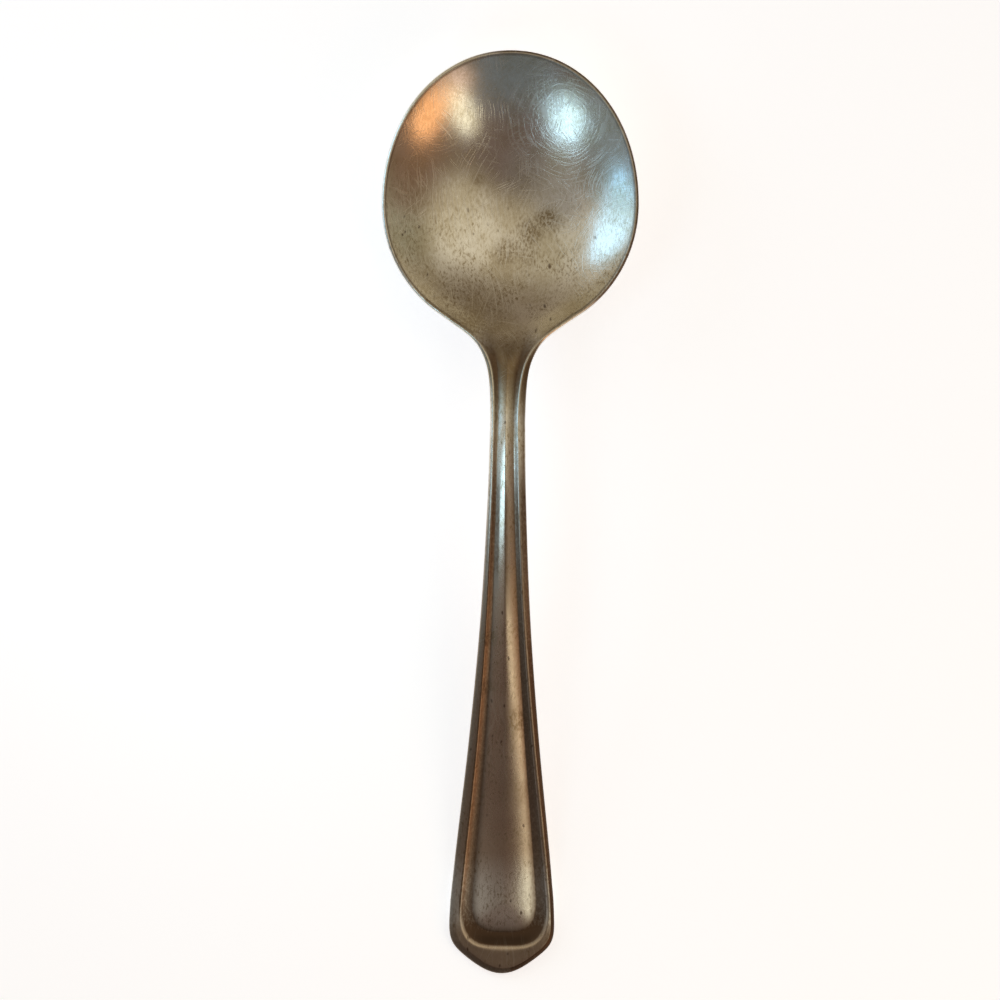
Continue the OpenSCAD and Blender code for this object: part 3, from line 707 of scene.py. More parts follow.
class TarnishWearAndLight:
    """How dark the front is in its recesses, from tarnish and painted shade, and how bright on its
    ridges, from use and painted highlights, from 0 to 1.

    Which side is darker or brighter follows the softboxes, so those sides are painted shade and
    painted highlight. A value above 1 in the recesses is black, as deep tarnish and painted shade.
    The hand is -1 on the left and 1 on the right, and beyond the round centre the cosine of the
    angle about it. Names in dark or bright are strengths, names in zone are stations, and names in
    hands are the hands between which something comes up. The rest are shares of the way across a
    part of the pattern, and powers.
    """

    left_hands = (0.2, -0.2)
    right_hands = (-0.2, 0.2)

    # The panel and the rib: pairs without a zone are for the stem and for the handle. The dark at
    # the foot is tarnish and painted shade; the crown and flank darks are painted shade that
    # narrows the highlights.
    left_foot = (0.6, 0.25)
    right_foot = (0.55, 0.25)
    foot_power = (1, 1.5)
    foot_zone = (102 * MM, 116 * MM)
    rib_dark = 0.25
    crown_zone = (68 * MM, 76 * MM, 86 * MM, 96 * MM)
    crown_middle = 1.4
    crown_side = 0.35
    crown_dark = 0.9
    flank_zone = (66 * MM, 74 * MM, 85 * MM, 92 * MM)
    flank_rise = (0.48, 0.66)
    flank_dark = 0.95

    # The groove: its dark, tarnish and painted shade, falls off from these shares on, before the
    # round centre and beyond it. The tip's dark is a painted shadow and the crest's bright a
    # painted highlight
    groove_fall = (0.95, 0.72)
    left_groove_dark = 0.65
    tip_hands = (0.95, 0.3)
    tip_rise = (-0.1, 0.6)
    tip_dark = 0.7
    crest_power = 12
    crest_bright = 0.5

    # The bead: the dark pair is for its inner and its outer side, the bright one for the stem
    # and the handle. Its dark is tarnish and painted shade, its bright is edge wear and painted
    # highlight
    left_bead_dark = (1.25, 0.65)
    left_bead_fall = (0.3, 0.9)
    right_bead_dark = 0.6
    end_bead_dark = 0.4
    inner_bead_dark = 0.8
    bead_bright = (0.8, 0)

    # The bevel: the dark pairs are for the middle and the left, and for the start of the handle
    # and the end of its zone, the bright one for the stem and the handle. The dark on the handle
    # and on the right is tarnish and painted shade, the bright at the left edge a painted highlight
    bevel_line_at = 0.2
    bevel_line_dark = 0.7
    left_bevel_hands = (0, -0.9)
    handle_bevel_dark = (0.85, 0.68)
    right_bevel_hands = (-0.3, 0.3)
    right_bevel_zone_l = 12 * MM
    right_bevel_dark = (1, 1.3)
    edge_power = 8
    edge_bright = (1, 0.2)

    # The lip: a painted highlight on the left and at the neck, painted shade on the rest of its
    # outer edge, and a painted shadow line running inside it
    left_lip = (0.0, -0.5)
    neck_zone = (40 * MM, 46 * MM)
    lip_line_at = 1.3
    lip_line_half = 0.5
    lip_line_dark = 0.8
    lip_dark = 2.2

    def __init__(self, form):
        self.form = form

    def struck(self, r, lines, s, hand):
        """The tarnish and painted shade, and the brightness from use and painted highlights, of the
        struck pattern and of the bevel round it.
        """
        form = self.form
        on_handle = ramp(form.neck_end, form.handle_at, s)
        on_end = ramp(form.end_at, form.end_at + form.size.end_l / 2, s)
        if r <= lines.foot:
            tarnish_and_shade, wear_and_highlight = self.panel(r / lines.foot, s, hand, on_handle)
        elif r <= lines.crest:
            f = (r - lines.foot) / (lines.crest - lines.foot)
            tarnish_and_shade, wear_and_highlight = self.groove(f, hand, on_handle, on_end)
        elif r <= lines.bevel:
            tarnish_and_shade, wear_and_highlight = self.bead((r - lines.crest) / form.bead_at(s), hand, on_handle, on_end)
        else:
            tarnish_and_shade, wear_and_highlight = self.bevel(form.bevel_share(r, lines), s, hand, on_handle)
        relief = form.relief_at(s)
        # How dark the tarnish and the painted shade in the recesses are along the spoon
        tarnish = curve(TARNISH_AND_SHADE_SHARES, s / form.size.spoon_l)
        return tarnish_and_shade * relief * tarnish, wear_and_highlight * relief

    def panel(self, f, s, hand, on_handle):
        """Tarnish and painted shade towards the foot, with a painted dark line beside the crown or
        painted shade down the left flank.
        """
        if hand > 0:
            reach = between(*self.right_foot, ramp(*self.foot_zone, s))
            crown = bounded(self.crown_middle - f / self.crown_side)
            mark = self.crown_dark * within(self.crown_zone, s) * crown
        else:
            reach = between(*self.left_foot, on_handle)
            mark = self.flank_dark * within(self.flank_zone, s) * ramp(*self.flank_rise, f)
        foot = line(reach, 1 - f) ** between(*self.foot_power, on_handle)
        return max(foot, mark, self.rib_dark * (1 - on_handle)), 0.0

    def groove(self, f, hand, on_handle, on_end):
        """Tarnish and painted shade up to the crest line, a painted shadow before the tip, painted
        shade that reaches further on the left, and a thin painted highlight at the crest on the
        stem.
        """
        kept = self.left_groove_dark * on_handle * ramp(*self.left_hands, hand) * (1 - on_end)
        fall = ramp(between(*self.groove_fall, on_end), 1.0, f)
        tip = on_end * ramp(*self.tip_hands, abs(hand)) * ramp(*self.tip_rise, f)
        tarnish_and_shade = (1 + self.tip_dark * tip) * (1 - fall * (1 - kept))
        return tarnish_and_shade, self.crest_bright * f**self.crest_power * (1 - on_handle)

    def bead(self, f, hand, on_handle, on_end):
        """Brightness from use and a painted highlight on the stem, and tarnish and painted shade on
        the handle, most of all on the left.
        """
        left_dark = between(*self.left_bead_dark, ramp(*self.left_bead_fall, f))
        tarnish_and_shade = max(
            on_handle * self.inner_bead_dark * bounded(1 - 2 * f),
            on_end * self.end_bead_dark,
            on_handle * (1 - on_end) * ramp(*self.left_hands, hand) * left_dark,
            (1 - on_end) * ramp(*self.right_hands, hand) * self.right_bead_dark,
        )
        return tarnish_and_shade, bounded(1 - abs(2 * f - 1)) * between(*self.bead_bright, on_handle)

    def bevel(self, f, s, hand, on_handle):
        """A dark line on the stem, tarnish and painted shade all over on the handle, more painted
        shade on the right, and a painted highlight at the left edge.
        """
        form = self.form
        stem_dark = self.bevel_line_dark * line(self.bevel_line_at, f - self.bevel_line_at)
        handle_dark = between(*self.handle_bevel_dark, ramp(*self.left_bevel_hands, hand))
        right_end = form.handle_at + self.right_bevel_zone_l
        right_dark = between(*self.right_bevel_dark, ramp(form.handle_at, right_end, s))
        right = ramp(*self.right_bevel_hands, hand) * ramp(form.neck_at, form.neck_end, s)
        tarnish_and_shade = max(between(stem_dark, handle_dark, on_handle), right * right_dark)
        bright = between(*self.edge_bright, on_handle) * ramp(*self.left_hands, hand)
        return tarnish_and_shade, f**self.edge_power * bright

    def lip(self, x, s, f):
        """Painted highlight and painted shade on the lip, at the share f of the way across it from
        the outline.
        """
        here = 1 - self.form.relief_at(s)
        bright = max(ramp(*self.left_lip, x / self.form.half_w), ramp(*self.neck_zone, s))
        inner = self.lip_line_dark * line(self.lip_line_half, f - self.lip_line_at)
        outer = (1 - bright) * bounded(self.lip_dark * (1 - f))
        return here * max(inner, outer), here * bright * bounded(1 - f)


# Columns round the outer edge, across the bevel, across the bead and down to the panel
BORDER_STEPS = (5, 5, 5, 9)
BORDER_COLUMNS = sum(BORDER_STEPS)
PANEL_COLUMNS = 28
# Edges that turn more than this stay sharp to the eye
SHARP_ANGLE = math.radians(40)
# Points nearer than this are one, in a unit solid and in a piece
UNIT_MERGE = 1e-6
MERGE = 1e-7


def between_lines(places, column):
    """The place of a column, counted from the outline inwards, between the lines of the border."""
    for i, steps in enumerate(BORDER_STEPS):
        if column <= steps:
            f = column / steps
            return between(places[i], places[i + 1], f if i else 1 - math.cos(math.pi / 2 * f))
        column -= steps
    return places[-1]


def crowded(f):
    """Rows that stand closer at both ends, so that neighbouring pieces meet smoothly."""
    return between(f, (1 - math.cos(math.pi * f)) / 2, 0.5)


def unit_slab(columns, rows):
    """A thick sheet of unit size, whose upper face lies at a height of 1."""
    bm = bmesh.new()
    bmesh.ops.create_grid(bm, x_segments=columns, y_segments=rows, size=0.5)
    bmesh.ops.translate(bm, verts=bm.verts[:], vec=(0.5, 0.5, 0.0))
    thicken(bm)
    return bm


def unit_drum(steps, rings):
    """A thick disc of unit radius, whose upper face lies at a height of 1."""
    bm = bmesh.new()
    spoke = [bm.verts.new((i / rings, 0.0, 0.0)) for i in range(rings + 1)]
    edges = [bm.edges.new(pair) for pair in zip(spoke, spoke[1:])]
    bmesh.ops.spin(
        bm,
        geom=spoke + edges,
        cent=(0, 0, 0),
        axis=(0, 0, 1),
        angle=math.tau,
        steps=steps,
        use_merge=True,
    )
    bmesh.ops.remove_doubles(bm, verts=bm.verts[:], dist=UNIT_MERGE)
    thicken(bm)
    return bm


def thicken(bm):
    """Extrudes a flat sheet up by 1 and keeps both faces."""
    made = bmesh.ops.extrude_face_region(bm, geom=bm.faces[:], use_keep_orig=True)
    raised = [v for v in made["geom"] if isinstance(v, bmesh.types.BMVert)]
    bmesh.ops.translate(bm, verts=raised, vec=(0.0, 0.0, 1.0))


def shape(bm, place):
    """Moves a unit solid's points to their places and writes the tarnish and painted shade, and the
    brightness from use and painted highlights.
    """
    tarnish_and_shade = bm.verts.layers.float.new("tarnish_and_shade")
    wear_and_highlight = bm.verts.layers.float.new("wear_and_highlight")
    for v in bm.verts:
        v.co, (v[tarnish_and_shade], v[wear_and_highlight]) = place(*v.co)
    bmesh.ops.remove_doubles(bm, verts=bm.verts[:], dist=MERGE)
    bmesh.ops.recalc_face_normals(bm, faces=bm.faces[:])


def make_piece(node, bm, place):
    """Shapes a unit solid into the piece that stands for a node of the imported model."""
    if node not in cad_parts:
        raise RuntimeError(f"the packed model has no node named {node}")
    shape(bm, place)
    for face in bm.faces:
        face.smooth = True
    for edge in bm.edges:
        edge.smooth = edge.calc_face_angle(0.0) < SHARP_ANGLE
    mesh = bpy.data.meshes.new(node + "_skin")
    bm.to_mesh(mesh)
    bm.free()
    piece = bpy.data.objects.new(node + "_skin", mesh)
    bpy.context.scene.collection.objects.link(piece)
    mesh.materials.append(worn_plate(bpy.context.scene.plate_finish))
    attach(piece, "root")
    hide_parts(node)


class Tree:
    """Adds and joins the nodes of one material or world."""

    def __init__(self, owner):
        owner.use_nodes = True
        self.nodes = owner.node_tree.nodes
        self.links = owner.node_tree.links
        self.nodes.clear()

    def node(self, kind, inputs=None, **settings):
        made = self.nodes.new("ShaderNode" + kind)
        for key, value in settings.items():
            setattr(made, key, value)
        for key, value in (inputs or {}).items():
            self.feed(made.inputs[key], value)
        return made

    def feed(self, socket, value):
        if isinstance(value, bpy.types.NodeSocket):
            self.links.new(value, socket)
        else:
            socket.default_value = value

    def math(self, operation, a, b=0.0, clamp=False):
        return self.node("Math", {0: a, 1: b}, operation=operation, use_clamp=clamp).outputs[0]

    def times(self, a, b):
        return self.math("MULTIPLY", a, b)

    def vector(self, operation, a, b=(0.0, 0.0, 0.0)):
        made = self.node("VectorMath", {0: a, 1: b}, operation=operation)
        return made.outputs["Value" if operation in ("DOT_PRODUCT", "LENGTH") else "Vector"]

    def window(self, value, up, down):
        """A soft window, which comes up over one pair of values and goes down over another."""
        return self.times(self.rise(value, *up), self.rise(value, *down))

    def rise(self, value, start, end, low=0.0, high=1.0):
        """A soft step from low at start to high at end."""
        inputs = {"Value": value, "From Min": start, "From Max": end, "To Min": low, "To Max": high}
        return self.node("MapRange", inputs, interpolation_type="SMOOTHSTEP").outputs[0]

    def noise(self, place, scale, detail=2.0, roughness=0.5):
        inputs = {"Vector": place, "Scale": scale, "Detail": detail, "Roughness": roughness}
        return self.node("TexNoise", inputs).outputs[0]

    def mix(self, factor, a, b):
        made = self.node("Mix", {0: factor, 6: a, 7: b}, data_type="RGBA")
        return made.outputs[2]

    def attribute(self, name):
        return self.node("Attribute", attribute_name=name).outputs["Fac"]


def opaque(colour):
    return (*colour, 1.0)


def stretched(tree, place, degrees, long, wide):
    """Turns a place by some degrees and measures it in lengths and widths of a scratch."""
    inputs = {"Vector": place, "Angle": math.radians(-degrees)}
    turned = tree.node("VectorRotate", inputs, rotation_type="Z_AXIS")
    return tree.vector("MULTIPLY", turned.outputs[0], (1 / wide, 1 / long, 0.0))


def flat_arm(tree, place, across, along):
    """The way to a place from a middle, and how long it is as seen from above."""
    arm = tree.vector("SUBTRACT", place, (across, along, 0.0))
    return arm, tree.vector("LENGTH", tree.vector("MULTIPLY", arm, (1.0, 1.0, 0.0)))


def straight_scratches(tree, place, warped, degrees, long, wide, least):
    """Fine scratches along one direction, in patches."""
    grain = tree.noise(stretched(tree, warped, degrees, long, wide), *Marks.scratch_grain)
    patch = tree.noise(tree.vector("ADD", place, (degrees, long, 0.0)), *Marks.scratch_patch)
    marks = tree.rise(grain, least, least + Marks.scratch_softness)
    return tree.times(marks, tree.rise(patch, *Marks.scratch_patches))


def swirl_scratches_and_glints(tree, warped, across, along, even, faded, strength):
    """Fine scratches that run round a place, as polishing leaves them, set round a highlight so
    that their bright colour paints the glints that light draws there.
    """
    arm, radius = flat_arm(tree, warped, across, along)
    parts = tree.node("SeparateXYZ", {0: arm}).outputs
    angle = tree.math("ARCTAN2", parts["Y"], parts["X"])
    inputs = {0: tree.times(radius, Marks.rings), 1: tree.times(angle, Marks.breaks)}
    grain = tree.noise(tree.node("CombineXYZ", inputs).outputs[0], *Marks.swirl_grain)
    marks = tree.rise(grain, *Marks.swirls_shown)
    marks = tree.times(marks, tree.rise(radius, faded, even, 0.0, strength))
    return tree.times(marks, tree.rise(radius, *Marks.swirl_middle))


def stain(tree, warped, across, along, radius, strength):
    """A soft stain round a place."""
    distance = flat_arm(tree, warped, across, along)[1]
    edge, core = (radius * share for share in Marks.stain_fade)
    return tree.rise(distance, edge, core, 0.0, strength)


def strongest(tree, values):
    """The largest of some values at each place."""
    top = values[0]
    for value in values[1:]:
        top = tree.math("MAXIMUM", top, value)
    return top


def worn_plate(finish):
    """Old silver plate: satin, scratched, filmed with brown, dark in its recesses with tarnish and
    painted shade, and bright on its ridges from use and painted highlights.
    """
    name = "worn_silver_plate"
    if name in bpy.data.materials:
        return bpy.data.materials[name]
    material = bpy.data.materials.new(name)
    tree = Tree(material)
    inputs = {"Vector": tree.node("TexCoord").outputs["Object"], "Scale": [1 / MM] * 3}
    place = tree.node("Mapping", inputs).outputs[0]
    along = tree.node("SeparateXYZ", {0: place}).outputs["Y"]
    inputs = {"Vector": place, "Scale": Marks.bend_scale, "Detail": Marks.bend_detail}
    bends = tree.node("TexNoise", inputs).outputs["Color"]
    warped = tree.vector("ADD", place, tree.vector("MULTIPLY", bends, [Marks.bend] * 3))
    warped = tree.vector("SUBTRACT", warped, [Marks.half_bend] * 3)

    cloud = tree.noise(place, *Marks.cloud)
    brush = tree.noise(tree.vector("MULTIPLY", place, Marks.brush_stretch), *Marks.brush)
    speck = tree.noise(tree.vector("MULTIPLY", place, Marks.speck_stretch), *Marks.speck)
    film = tree.math("ADD", cloud, tree.times(brush, Marks.brush_in_film))
    film = tree.rise(film, *Marks.film_shown)
    on_handle = tree.rise(along, *Marks.on_handle)
    near_neck = tree.rise(along, *Marks.near_neck)
    # Tarnish and painted shade in the recesses, and wear and painted highlights on the ridges
    tarnish_and_shade = tree.attribute("tarnish_and_shade")
    wear_and_highlight = tree.attribute("wear_and_highlight")

    scratches = [straight_scratches(tree, place, warped, *row) for row in SCRATCHES]
    # Swirls round the highlights, whose bright colour paints glints
    scratches += [swirl_scratches_and_glints(tree, warped, *row) for row in SWIRLS]
    scratches = tree.times(strongest(tree, scratches), tree.rise(along, *Marks.fewer_scratches))
    rubbed = tree.window(along, *Marks.rubbed)
    # Painted shade over the neck, spared on the bright ridges
    painted_neck_shade = tree.window(along, *Marks.painted_neck_shade)
    painted_neck_shade = tree.times(painted_neck_shade, tree.rise(wear_and_highlight, *Marks.wear_and_highlight_spared))
    patches = tree.rise(tree.noise(place, *Marks.blotch_patch), *Marks.blotch_patches)
    blotches = tree.times(tree.rise(brush, *Marks.blotches_shown), near_neck)
    blotches = tree.times(blotches, patches)
    stains = strongest(tree, [stain(tree, warped, *row) for row in STAINS])
    stains = tree.times(stains, tree.rise(speck, *Marks.stain_specks))
    cells = tree.vector("MULTIPLY", warped, Marks.pit_stretch)
    pits = tree.node("TexVoronoi", {"Vector": cells, "Scale": 1.0}).outputs["Distance"]
    patches = tree.rise(tree.noise(place, *Marks.pit_patch), *Marks.pit_patches)
    pits = tree.times(tree.times(tree.rise(pits, *Marks.pits_shown), patches), near_neck)
    # Dark specks where the recesses hold tarnish and painted shade
    grime_and_shade = tree.math("MULTIPLY", tarnish_and_shade, tree.rise(speck, *Marks.grime_and_shade_specks), clamp=True)

    # Layers from the lowest up: where each shows, its strength and its colour
    layers = (
        (film, 1.0, finish.patina),
        (tree.times(on_handle, tree.rise(brush, *Marks.brushed)), 1.0, finish.brown),
        (rubbed, 0.95, finish.silver),
        # The next two layers: painted shade over the neck, in the stain and dark colours, dulling
        # its reflections
        (painted_neck_shade, 0.9, finish.stain),
        (painted_neck_shade, 0.4, finish.dark),
        (blotches, 1.0, finish.stain),
        (stains, 1.0, finish.stain),
        (pits, 0.85, finish.dark),
        # Grime and painted shade in the recesses
        (grime_and_shade, 1.0, finish.dark),
        # Black painted shade, with the oldest tarnish, where the recesses are darkest
        (tree.rise(tarnish_and_shade, *Marks.black_shown), 1.0, finish.black),
        # Brightness from use and painted highlights on the ridges, in silver
        (wear_and_highlight, 0.5, finish.silver),
        # Scratches in silver, with the painted glints of the swirls round the highlights
        (tree.times(scratches, tree.rise(grime_and_shade, *Marks.shining)), 1.0, finish.silver),
    )
    colour = opaque(finish.silver)
    for layer, strength, tone in layers:
        colour = tree.mix(tree.times(layer, strength), colour, opaque(tone))

    # What adds to the roughness, and how much
    rougher = (
        (film, 0.05),
        (brush, 0.06),
        (grime_and_shade, 0.2),
        (stains, 0.15),
        (scratches, 0.08),
        (on_handle, 0.05),
    )
    rough = finish.roughness
    for layer, gain in rougher:
        rough = tree.math("ADD", rough, tree.times(layer, gain))

    height = tree.times(speck, tree.rise(on_handle, *Marks.fine_grain))
    for layer, depth in ((scratches, Marks.scratch_depth), (pits, Marks.pit_depth)):
        height = tree.math("SUBTRACT", height, tree.times(layer, depth))
    bump = tree.node("Bump", {"Height": height, "Strength": 1.0, "Distance": finish.relief})
    shader = tree.node(
        "BsdfPrincipled",
        {"Base Color": colour, "Metallic": 1.0, "Roughness": rough, "Normal": bump.outputs[0]},
    )
    tree.node("OutputMaterial", {"Surface": shader.outputs[0]})
    return material


class Grid:
    """Counts of rows and columns of the pieces."""

    neck_rows = 44
    stem_rows = 110
    side_rows = 130
    end_rows = 120
    foot_rows = 40
    full_columns = 2 * BORDER_COLUMNS + PANEL_COLUMNS
    tip_steps = 110
    shoulder_steps = 45
    inner_rings = 42
    lip_rings = 14
    edge_rings = 5
    lip_zone = 1.7 * MM


def full_x(form, s, column):
    """The place across the whole width of the spoon of a column, counted from the left."""
    shift = form.shift_at(s)
    right = column > BORDER_COLUMNS + PANEL_COLUMNS
    if BORDER_COLUMNS <= column and not right:
        return shift + form.panel_half_at(s) * (2 * (column - BORDER_COLUMNS) / PANEL_COLUMNS - 1)
    hand = 1 if right else -1
    lines = form.lines_at(s, hand)
    return shift + hand * between_lines(lines, Grid.full_columns - column if right else column)


def full_place(form, start, end):
    """Places of a piece that spans the whole width of the spoon between two stations."""

    def place(u, v, face):
        s = between(start, end, crowded(v))
        return form.spot(full_x(form, s, round(u * Grid.full_columns)), s, face)

    return place


def bowl_outline(form, step):
    """A place on the bowl's outline, from its right end at the neck round the tip to the seam."""
    size = form.size
    if step <= Grid.shoulder_steps:
        s = between(form.neck_at, size.bowl_tip_l, step / Grid.shoulder_steps)
        return form.half_at(s), s
    step -= Grid.shoulder_steps
    if step <= Grid.tip_steps:
        angle = between(math.pi / 2, -math.pi / 2, step / Grid.tip_steps)
        x = math.copysign(abs(math.sin(angle)) ** (2 / form.tip_power), angle)
        return form.half_w * x, size.bowl_tip_l * (1 - abs(math.cos(angle)) ** (2 / form.tip_power))
    step -= Grid.tip_steps
    if step <= Grid.shoulder_steps:
        s = between(size.bowl_tip_l, form.neck_at, step / Grid.shoulder_steps)
        return -form.half_at(s), s
    step -= Grid.shoulder_steps
    return full_x(form, form.neck_at, step), form.neck_at


def border_place(form, rows):
    """Places of the border, on rows down its left side, round the end and up its right side."""

    def place(u, v, face):
        column = u * BORDER_COLUMNS
        row = v * rows
        if Grid.side_rows <= row <= rows - Grid.side_rows:
            angle = math.pi * (1 - (row - Grid.side_rows) / Grid.end_rows)
            lines = form.end_lines(angle)
            return form.end_spot(angle, between_lines(lines, column), lines, face)
        hand = -1 if row < Grid.side_rows else 1
        s = between(form.handle_at, form.end_at, crowded(min(row, rows - row) / Grid.side_rows))
        x = form.shift_at(s) + hand * between_lines(form.lines_at(s, hand), column)
        return form.spot(x, s, face)

    return place


def panel_place(form, rows):
    """Places of the panel, on rows down to the round centre and on down its rounded foot."""

    def place(u, v, face):
        side = 2 * u - 1
        row = v * rows
        if row <= Grid.side_rows:
            s = between(form.handle_at, form.end_at, crowded(row / Grid.side_rows))
            return form.spot(form.shift_at(s) + side * form.panel_half_at(s), s, face)
        angle = math.pi / 2 * (row - Grid.side_rows) / Grid.foot_rows
        x = side * form.panel_half * max(0.0, math.cos(angle)) ** (2 / form.foot_power)
        y = form.panel_end_l * math.sin(angle) ** (2 / form.foot_power)
        toward = math.atan2(y, x)
        return form.end_spot(toward, math.hypot(x, y), form.end_lines(toward), face)

    return place


def bowl_place(form, steps, rings):
    """Places of the bowl on rings round its middle, which stand closer at the lip."""
    size = form.size
    lip_start = 1 - Grid.lip_zone / form.half_w
    lip_end = 1 - size.edge_round / form.half_w

    def ring_share(ring):
        if ring <= Grid.inner_rings:
            return lip_start * ring / Grid.inner_rings
        if ring <= rings - Grid.edge_rings:
            return between(lip_start, lip_end, (ring - Grid.inner_rings) / Grid.lip_rings)
        f = (ring - rings + Grid.edge_rings) / Grid.edge_rings
        return between(1, lip_end, 1 - math.sin(math.pi / 2 * f))

    def place(x, y, face):
        ring = round(math.hypot(x, y) * rings)
        step = round(math.atan2(y, x) / math.tau * steps) % steps
        edge_x, edge_s = bowl_outline(form, step)
        share = ring_share(ring)
        station = between(size.bowl_tip_l, edge_s, share)
        return form.spot(share * edge_x, station, face)

    return place


class SPOON_OT_bowl(bpy.types.Operator):
    """Builds the round bowl with its lip and the worn flat beneath"""

    bl_idname = "spoon.bowl"
    bl_label = "Bowl"

    def execute(self, context):
        form = Form(context.scene.spoon_sizes)
        steps = Grid.tip_steps + 2 * Grid.shoulder_steps + Grid.full_columns
        rings = Grid.inner_rings + Grid.lip_rings + Grid.edge_rings
        bm = unit_drum(steps, rings)
        make_piece("bowl", bm, bowl_place(form, steps, rings))
        return {"FINISHED"}


class SPOON_OT_neck(bpy.types.Operator):
    """Builds the neck, where the lip lines run together into the stem"""

    bl_idname = "spoon.neck"
    bl_label = "Neck"

    def execute(self, context):
        form = Form(context.scene.spoon_sizes)
        bm = unit_slab(Grid.full_columns, Grid.neck_rows)
        make_piece("neck", bm, full_place(form, form.neck_at, form.neck_end))
        return {"FINISHED"}


class SPOON_OT_stem(bpy.types.Operator):
    """Builds the slim stem with its rib between two grooves"""

    bl_idname = "spoon.stem"
    bl_label = "Stem"

    def execute(self, context):
        form = Form(context.scene.spoon_sizes)
        bm = unit_slab(Grid.full_columns, Grid.stem_rows)
        make_piece("stem", bm, full_place(form, form.neck_end, form.handle_at))
        return {"FINISHED"}


class SPOON_OT_handle_border(bpy.types.Operator):
    """Builds the border of groove, bead and bevel round the panel, with the pointed end"""

    bl_idname = "spoon.handle_border"
    bl_label = "Handle border"

    def execute(self, context):
        form = Form(context.scene.spoon_sizes)
        rows = 2 * Grid.side_rows + Grid.end_rows
        bm = unit_slab(BORDER_COLUMNS, rows)
        make_piece("handle_border", bm, border_place(form, rows))
        return {"FINISHED"}


class SPOON_OT_handle_panel(bpy.types.Operator):
    """Builds the raised panel with its crown and rounded foot"""

    bl_idname = "spoon.handle_panel"
    bl_label = "Handle panel"

    def execute(self, context):
        form = Form(context.scene.spoon_sizes)
        rows = Grid.side_rows + Grid.foot_rows
        bm = unit_slab(PANEL_COLUMNS, rows)
        make_piece("handle_panel", bm, panel_place(form, rows))
        return {"FINISHED"}


def toward(azimuth, elevation):
    """The direction of an azimuth and an elevation in degrees."""
    a, e = math.radians(azimuth), math.radians(elevation)
    return Vector((math.sin(a) * math.cos(e), math.cos(a) * math.cos(e), math.sin(e)))


def add_softbox(name, azimuth, elevation, distance, width, height, colour):
    """An oval area light that the middle of the bowl sees in a direction."""
    middle = Vector((0.0, CAD_HIGH.y - bpy.context.scene.spoon_sizes.bowl_tip_l, 0.0))
    direction = toward(azimuth, elevation)
    data = bpy.data.lights.new(name, "AREA")
    data.shape = "ELLIPSE"
    data.size = 2 * distance * math.tan(math.radians(width / 2))
    data.size_y = 2 * distance * math.tan(math.radians(height / 2))
    strength = max(colour)
    data.color = [part / strength for part in colour]
    area = math.pi / 4 * data.size * data.size_y
    data.energy = math.pi * area * strength * bpy.context.scene.studio_setup.light_scale
    light = bpy.data.objects.new(name, data)
    light.location = middle + direction * distance
    light.rotation_euler = direction.to_track_quat("Z", "Y").to_euler()
    light.visible_camera = False
    bpy.context.scene.collection.objects.link(light)


def add_floor(setup):
    bm = bmesh.new()
    bmesh.ops.create_circle(bm, cap_ends=True, segments=FLOOR_SIDES, radius=setup.floor_r)
    bmesh.ops.translate(bm, verts=bm.verts[:], vec=(0.0, 0.0, -setup.floor_gap))
    mesh = bpy.data.meshes.new("floor")
    bm.to_mesh(mesh)
    bm.free()
    floor = bpy.data.objects.new("floor", mesh)
    bpy.context.scene.collection.objects.link(floor)
    material = bpy.data.materials.new("pale_floor")
    tree = Tree(material)
    inputs = {
        "Base Color": opaque(setup.floor_tint),
        "Roughness": FLOOR_ROUGHNESS,
        "Emission Color": opaque(setup.floor_tint),
        "Emission Strength": setup.floor_glow,
    }
    shader = tree.node("BsdfPrincipled", inputs)
    tree.node("OutputMaterial", {"Surface": shader.outputs[0]})
    mesh.materials.append(material)


def add_camera(setup):
    data = bpy.data.cameras.new("camera")
    reach = setup.camera_h - setup.outline_h
    data.lens = data.sensor_width * reach / setup.view_w
    data.clip_end = CAMERA_CLIP_END
    camera = bpy.data.objects.new("camera", data)
    camera.location = (setup.view_x, setup.view_y, setup.camera_h)
    camera.rotation_euler = (0.0, 0.0, setup.view_roll)
    bpy.context.scene.collection.objects.link(camera)
    bpy.context.scene.camera = camera


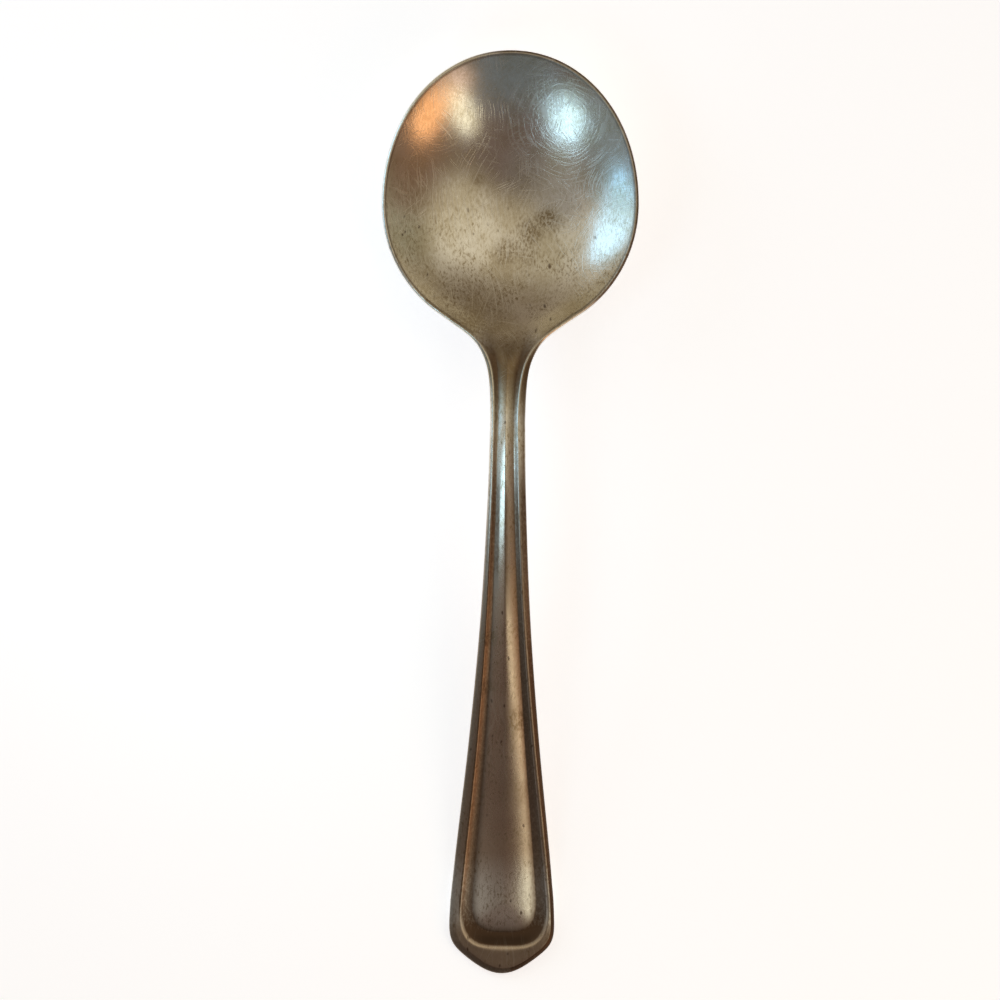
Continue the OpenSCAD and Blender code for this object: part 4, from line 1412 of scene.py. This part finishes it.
def add_world():
    """A soft room: pale and warm on the far side, dark on the near side, with broad zones."""
    world = bpy.data.worlds.new("studio")
    bpy.context.scene.world = world
    tree = Tree(world)
    way = tree.node("TexCoord").outputs["Generated"]
    far = tree.rise(tree.vector("DOT_PRODUCT", way, (0.0, 1.0, 0.0)), *ROOM_TURN)
    colour = tree.mix(far, opaque(ROOM_NEAR), opaque(ROOM_FAR))
    for azimuth, elevation, even, faded, tone in ROOM_ZONES:
        near = tree.vector("DOT_PRODUCT", way, toward(azimuth, elevation))
        factor = tree.rise(near, math.cos(math.radians(faded)), math.cos(math.radians(even)))
        colour = tree.mix(factor, colour, opaque(tone))
    background = tree.node("Background", {"Color": colour, "Strength": 1.0})
    tree.node("OutputWorld", {"Surface": background.outputs[0]})


class SPOON_OT_studio(bpy.types.Operator):
    """Builds the floor, the lights and the camera"""

    bl_idname = "spoon.studio"
    bl_label = "Studio"

    def execute(self, context):
        setup = context.scene.studio_setup
        add_floor(setup)
        add_camera(setup)
        add_world()
        for row in SOFTBOXES:
            add_softbox(*row)
        context.scene.view_settings.view_transform = "Standard"
        return {"FINISHED"}


class SPOON_PT_panel(bpy.types.Panel):
    """Lists the steps that build the spoon, with its sizes"""

    bl_idname = "SPOON_PT_panel"
    bl_label = "Spoon"
    bl_space_type = "VIEW_3D"
    bl_region_type = "UI"
    bl_category = "Spoon"

    def draw(self, context):
        for operator in OPERATORS:
            self.layout.operator(operator.bl_idname)
        scene = context.scene
        for group in (scene.spoon_sizes, scene.plate_finish, scene.studio_setup):
            box = self.layout.box()
            for name in group.__annotations__:
                box.prop(group, name)


GROUPS = (SpoonSizes, PlateFinish, StudioSetup)
OPERATORS = (
    SPOON_OT_bowl,
    SPOON_OT_neck,
    SPOON_OT_stem,
    SPOON_OT_handle_border,
    SPOON_OT_handle_panel,
    SPOON_OT_studio,
)


def register():
    for item in (*GROUPS, *OPERATORS, SPOON_PT_panel):
        bpy.utils.register_class(item)
    bpy.types.Scene.spoon_sizes = PointerProperty(type=SpoonSizes)
    bpy.types.Scene.plate_finish = PointerProperty(type=PlateFinish)
    bpy.types.Scene.studio_setup = PointerProperty(type=StudioSetup)


def unregister():
    del bpy.types.Scene.studio_setup
    del bpy.types.Scene.plate_finish
    del bpy.types.Scene.spoon_sizes
    for item in reversed((*GROUPS, *OPERATORS, SPOON_PT_panel)):
        bpy.utils.unregister_class(item)


def main():
    register()
    bpy.ops.spoon.bowl()
    bpy.ops.spoon.neck()
    bpy.ops.spoon.stem()
    bpy.ops.spoon.handle_border()
    bpy.ops.spoon.handle_panel()
    bpy.ops.spoon.studio()


if __name__ == "__main__":
    main()
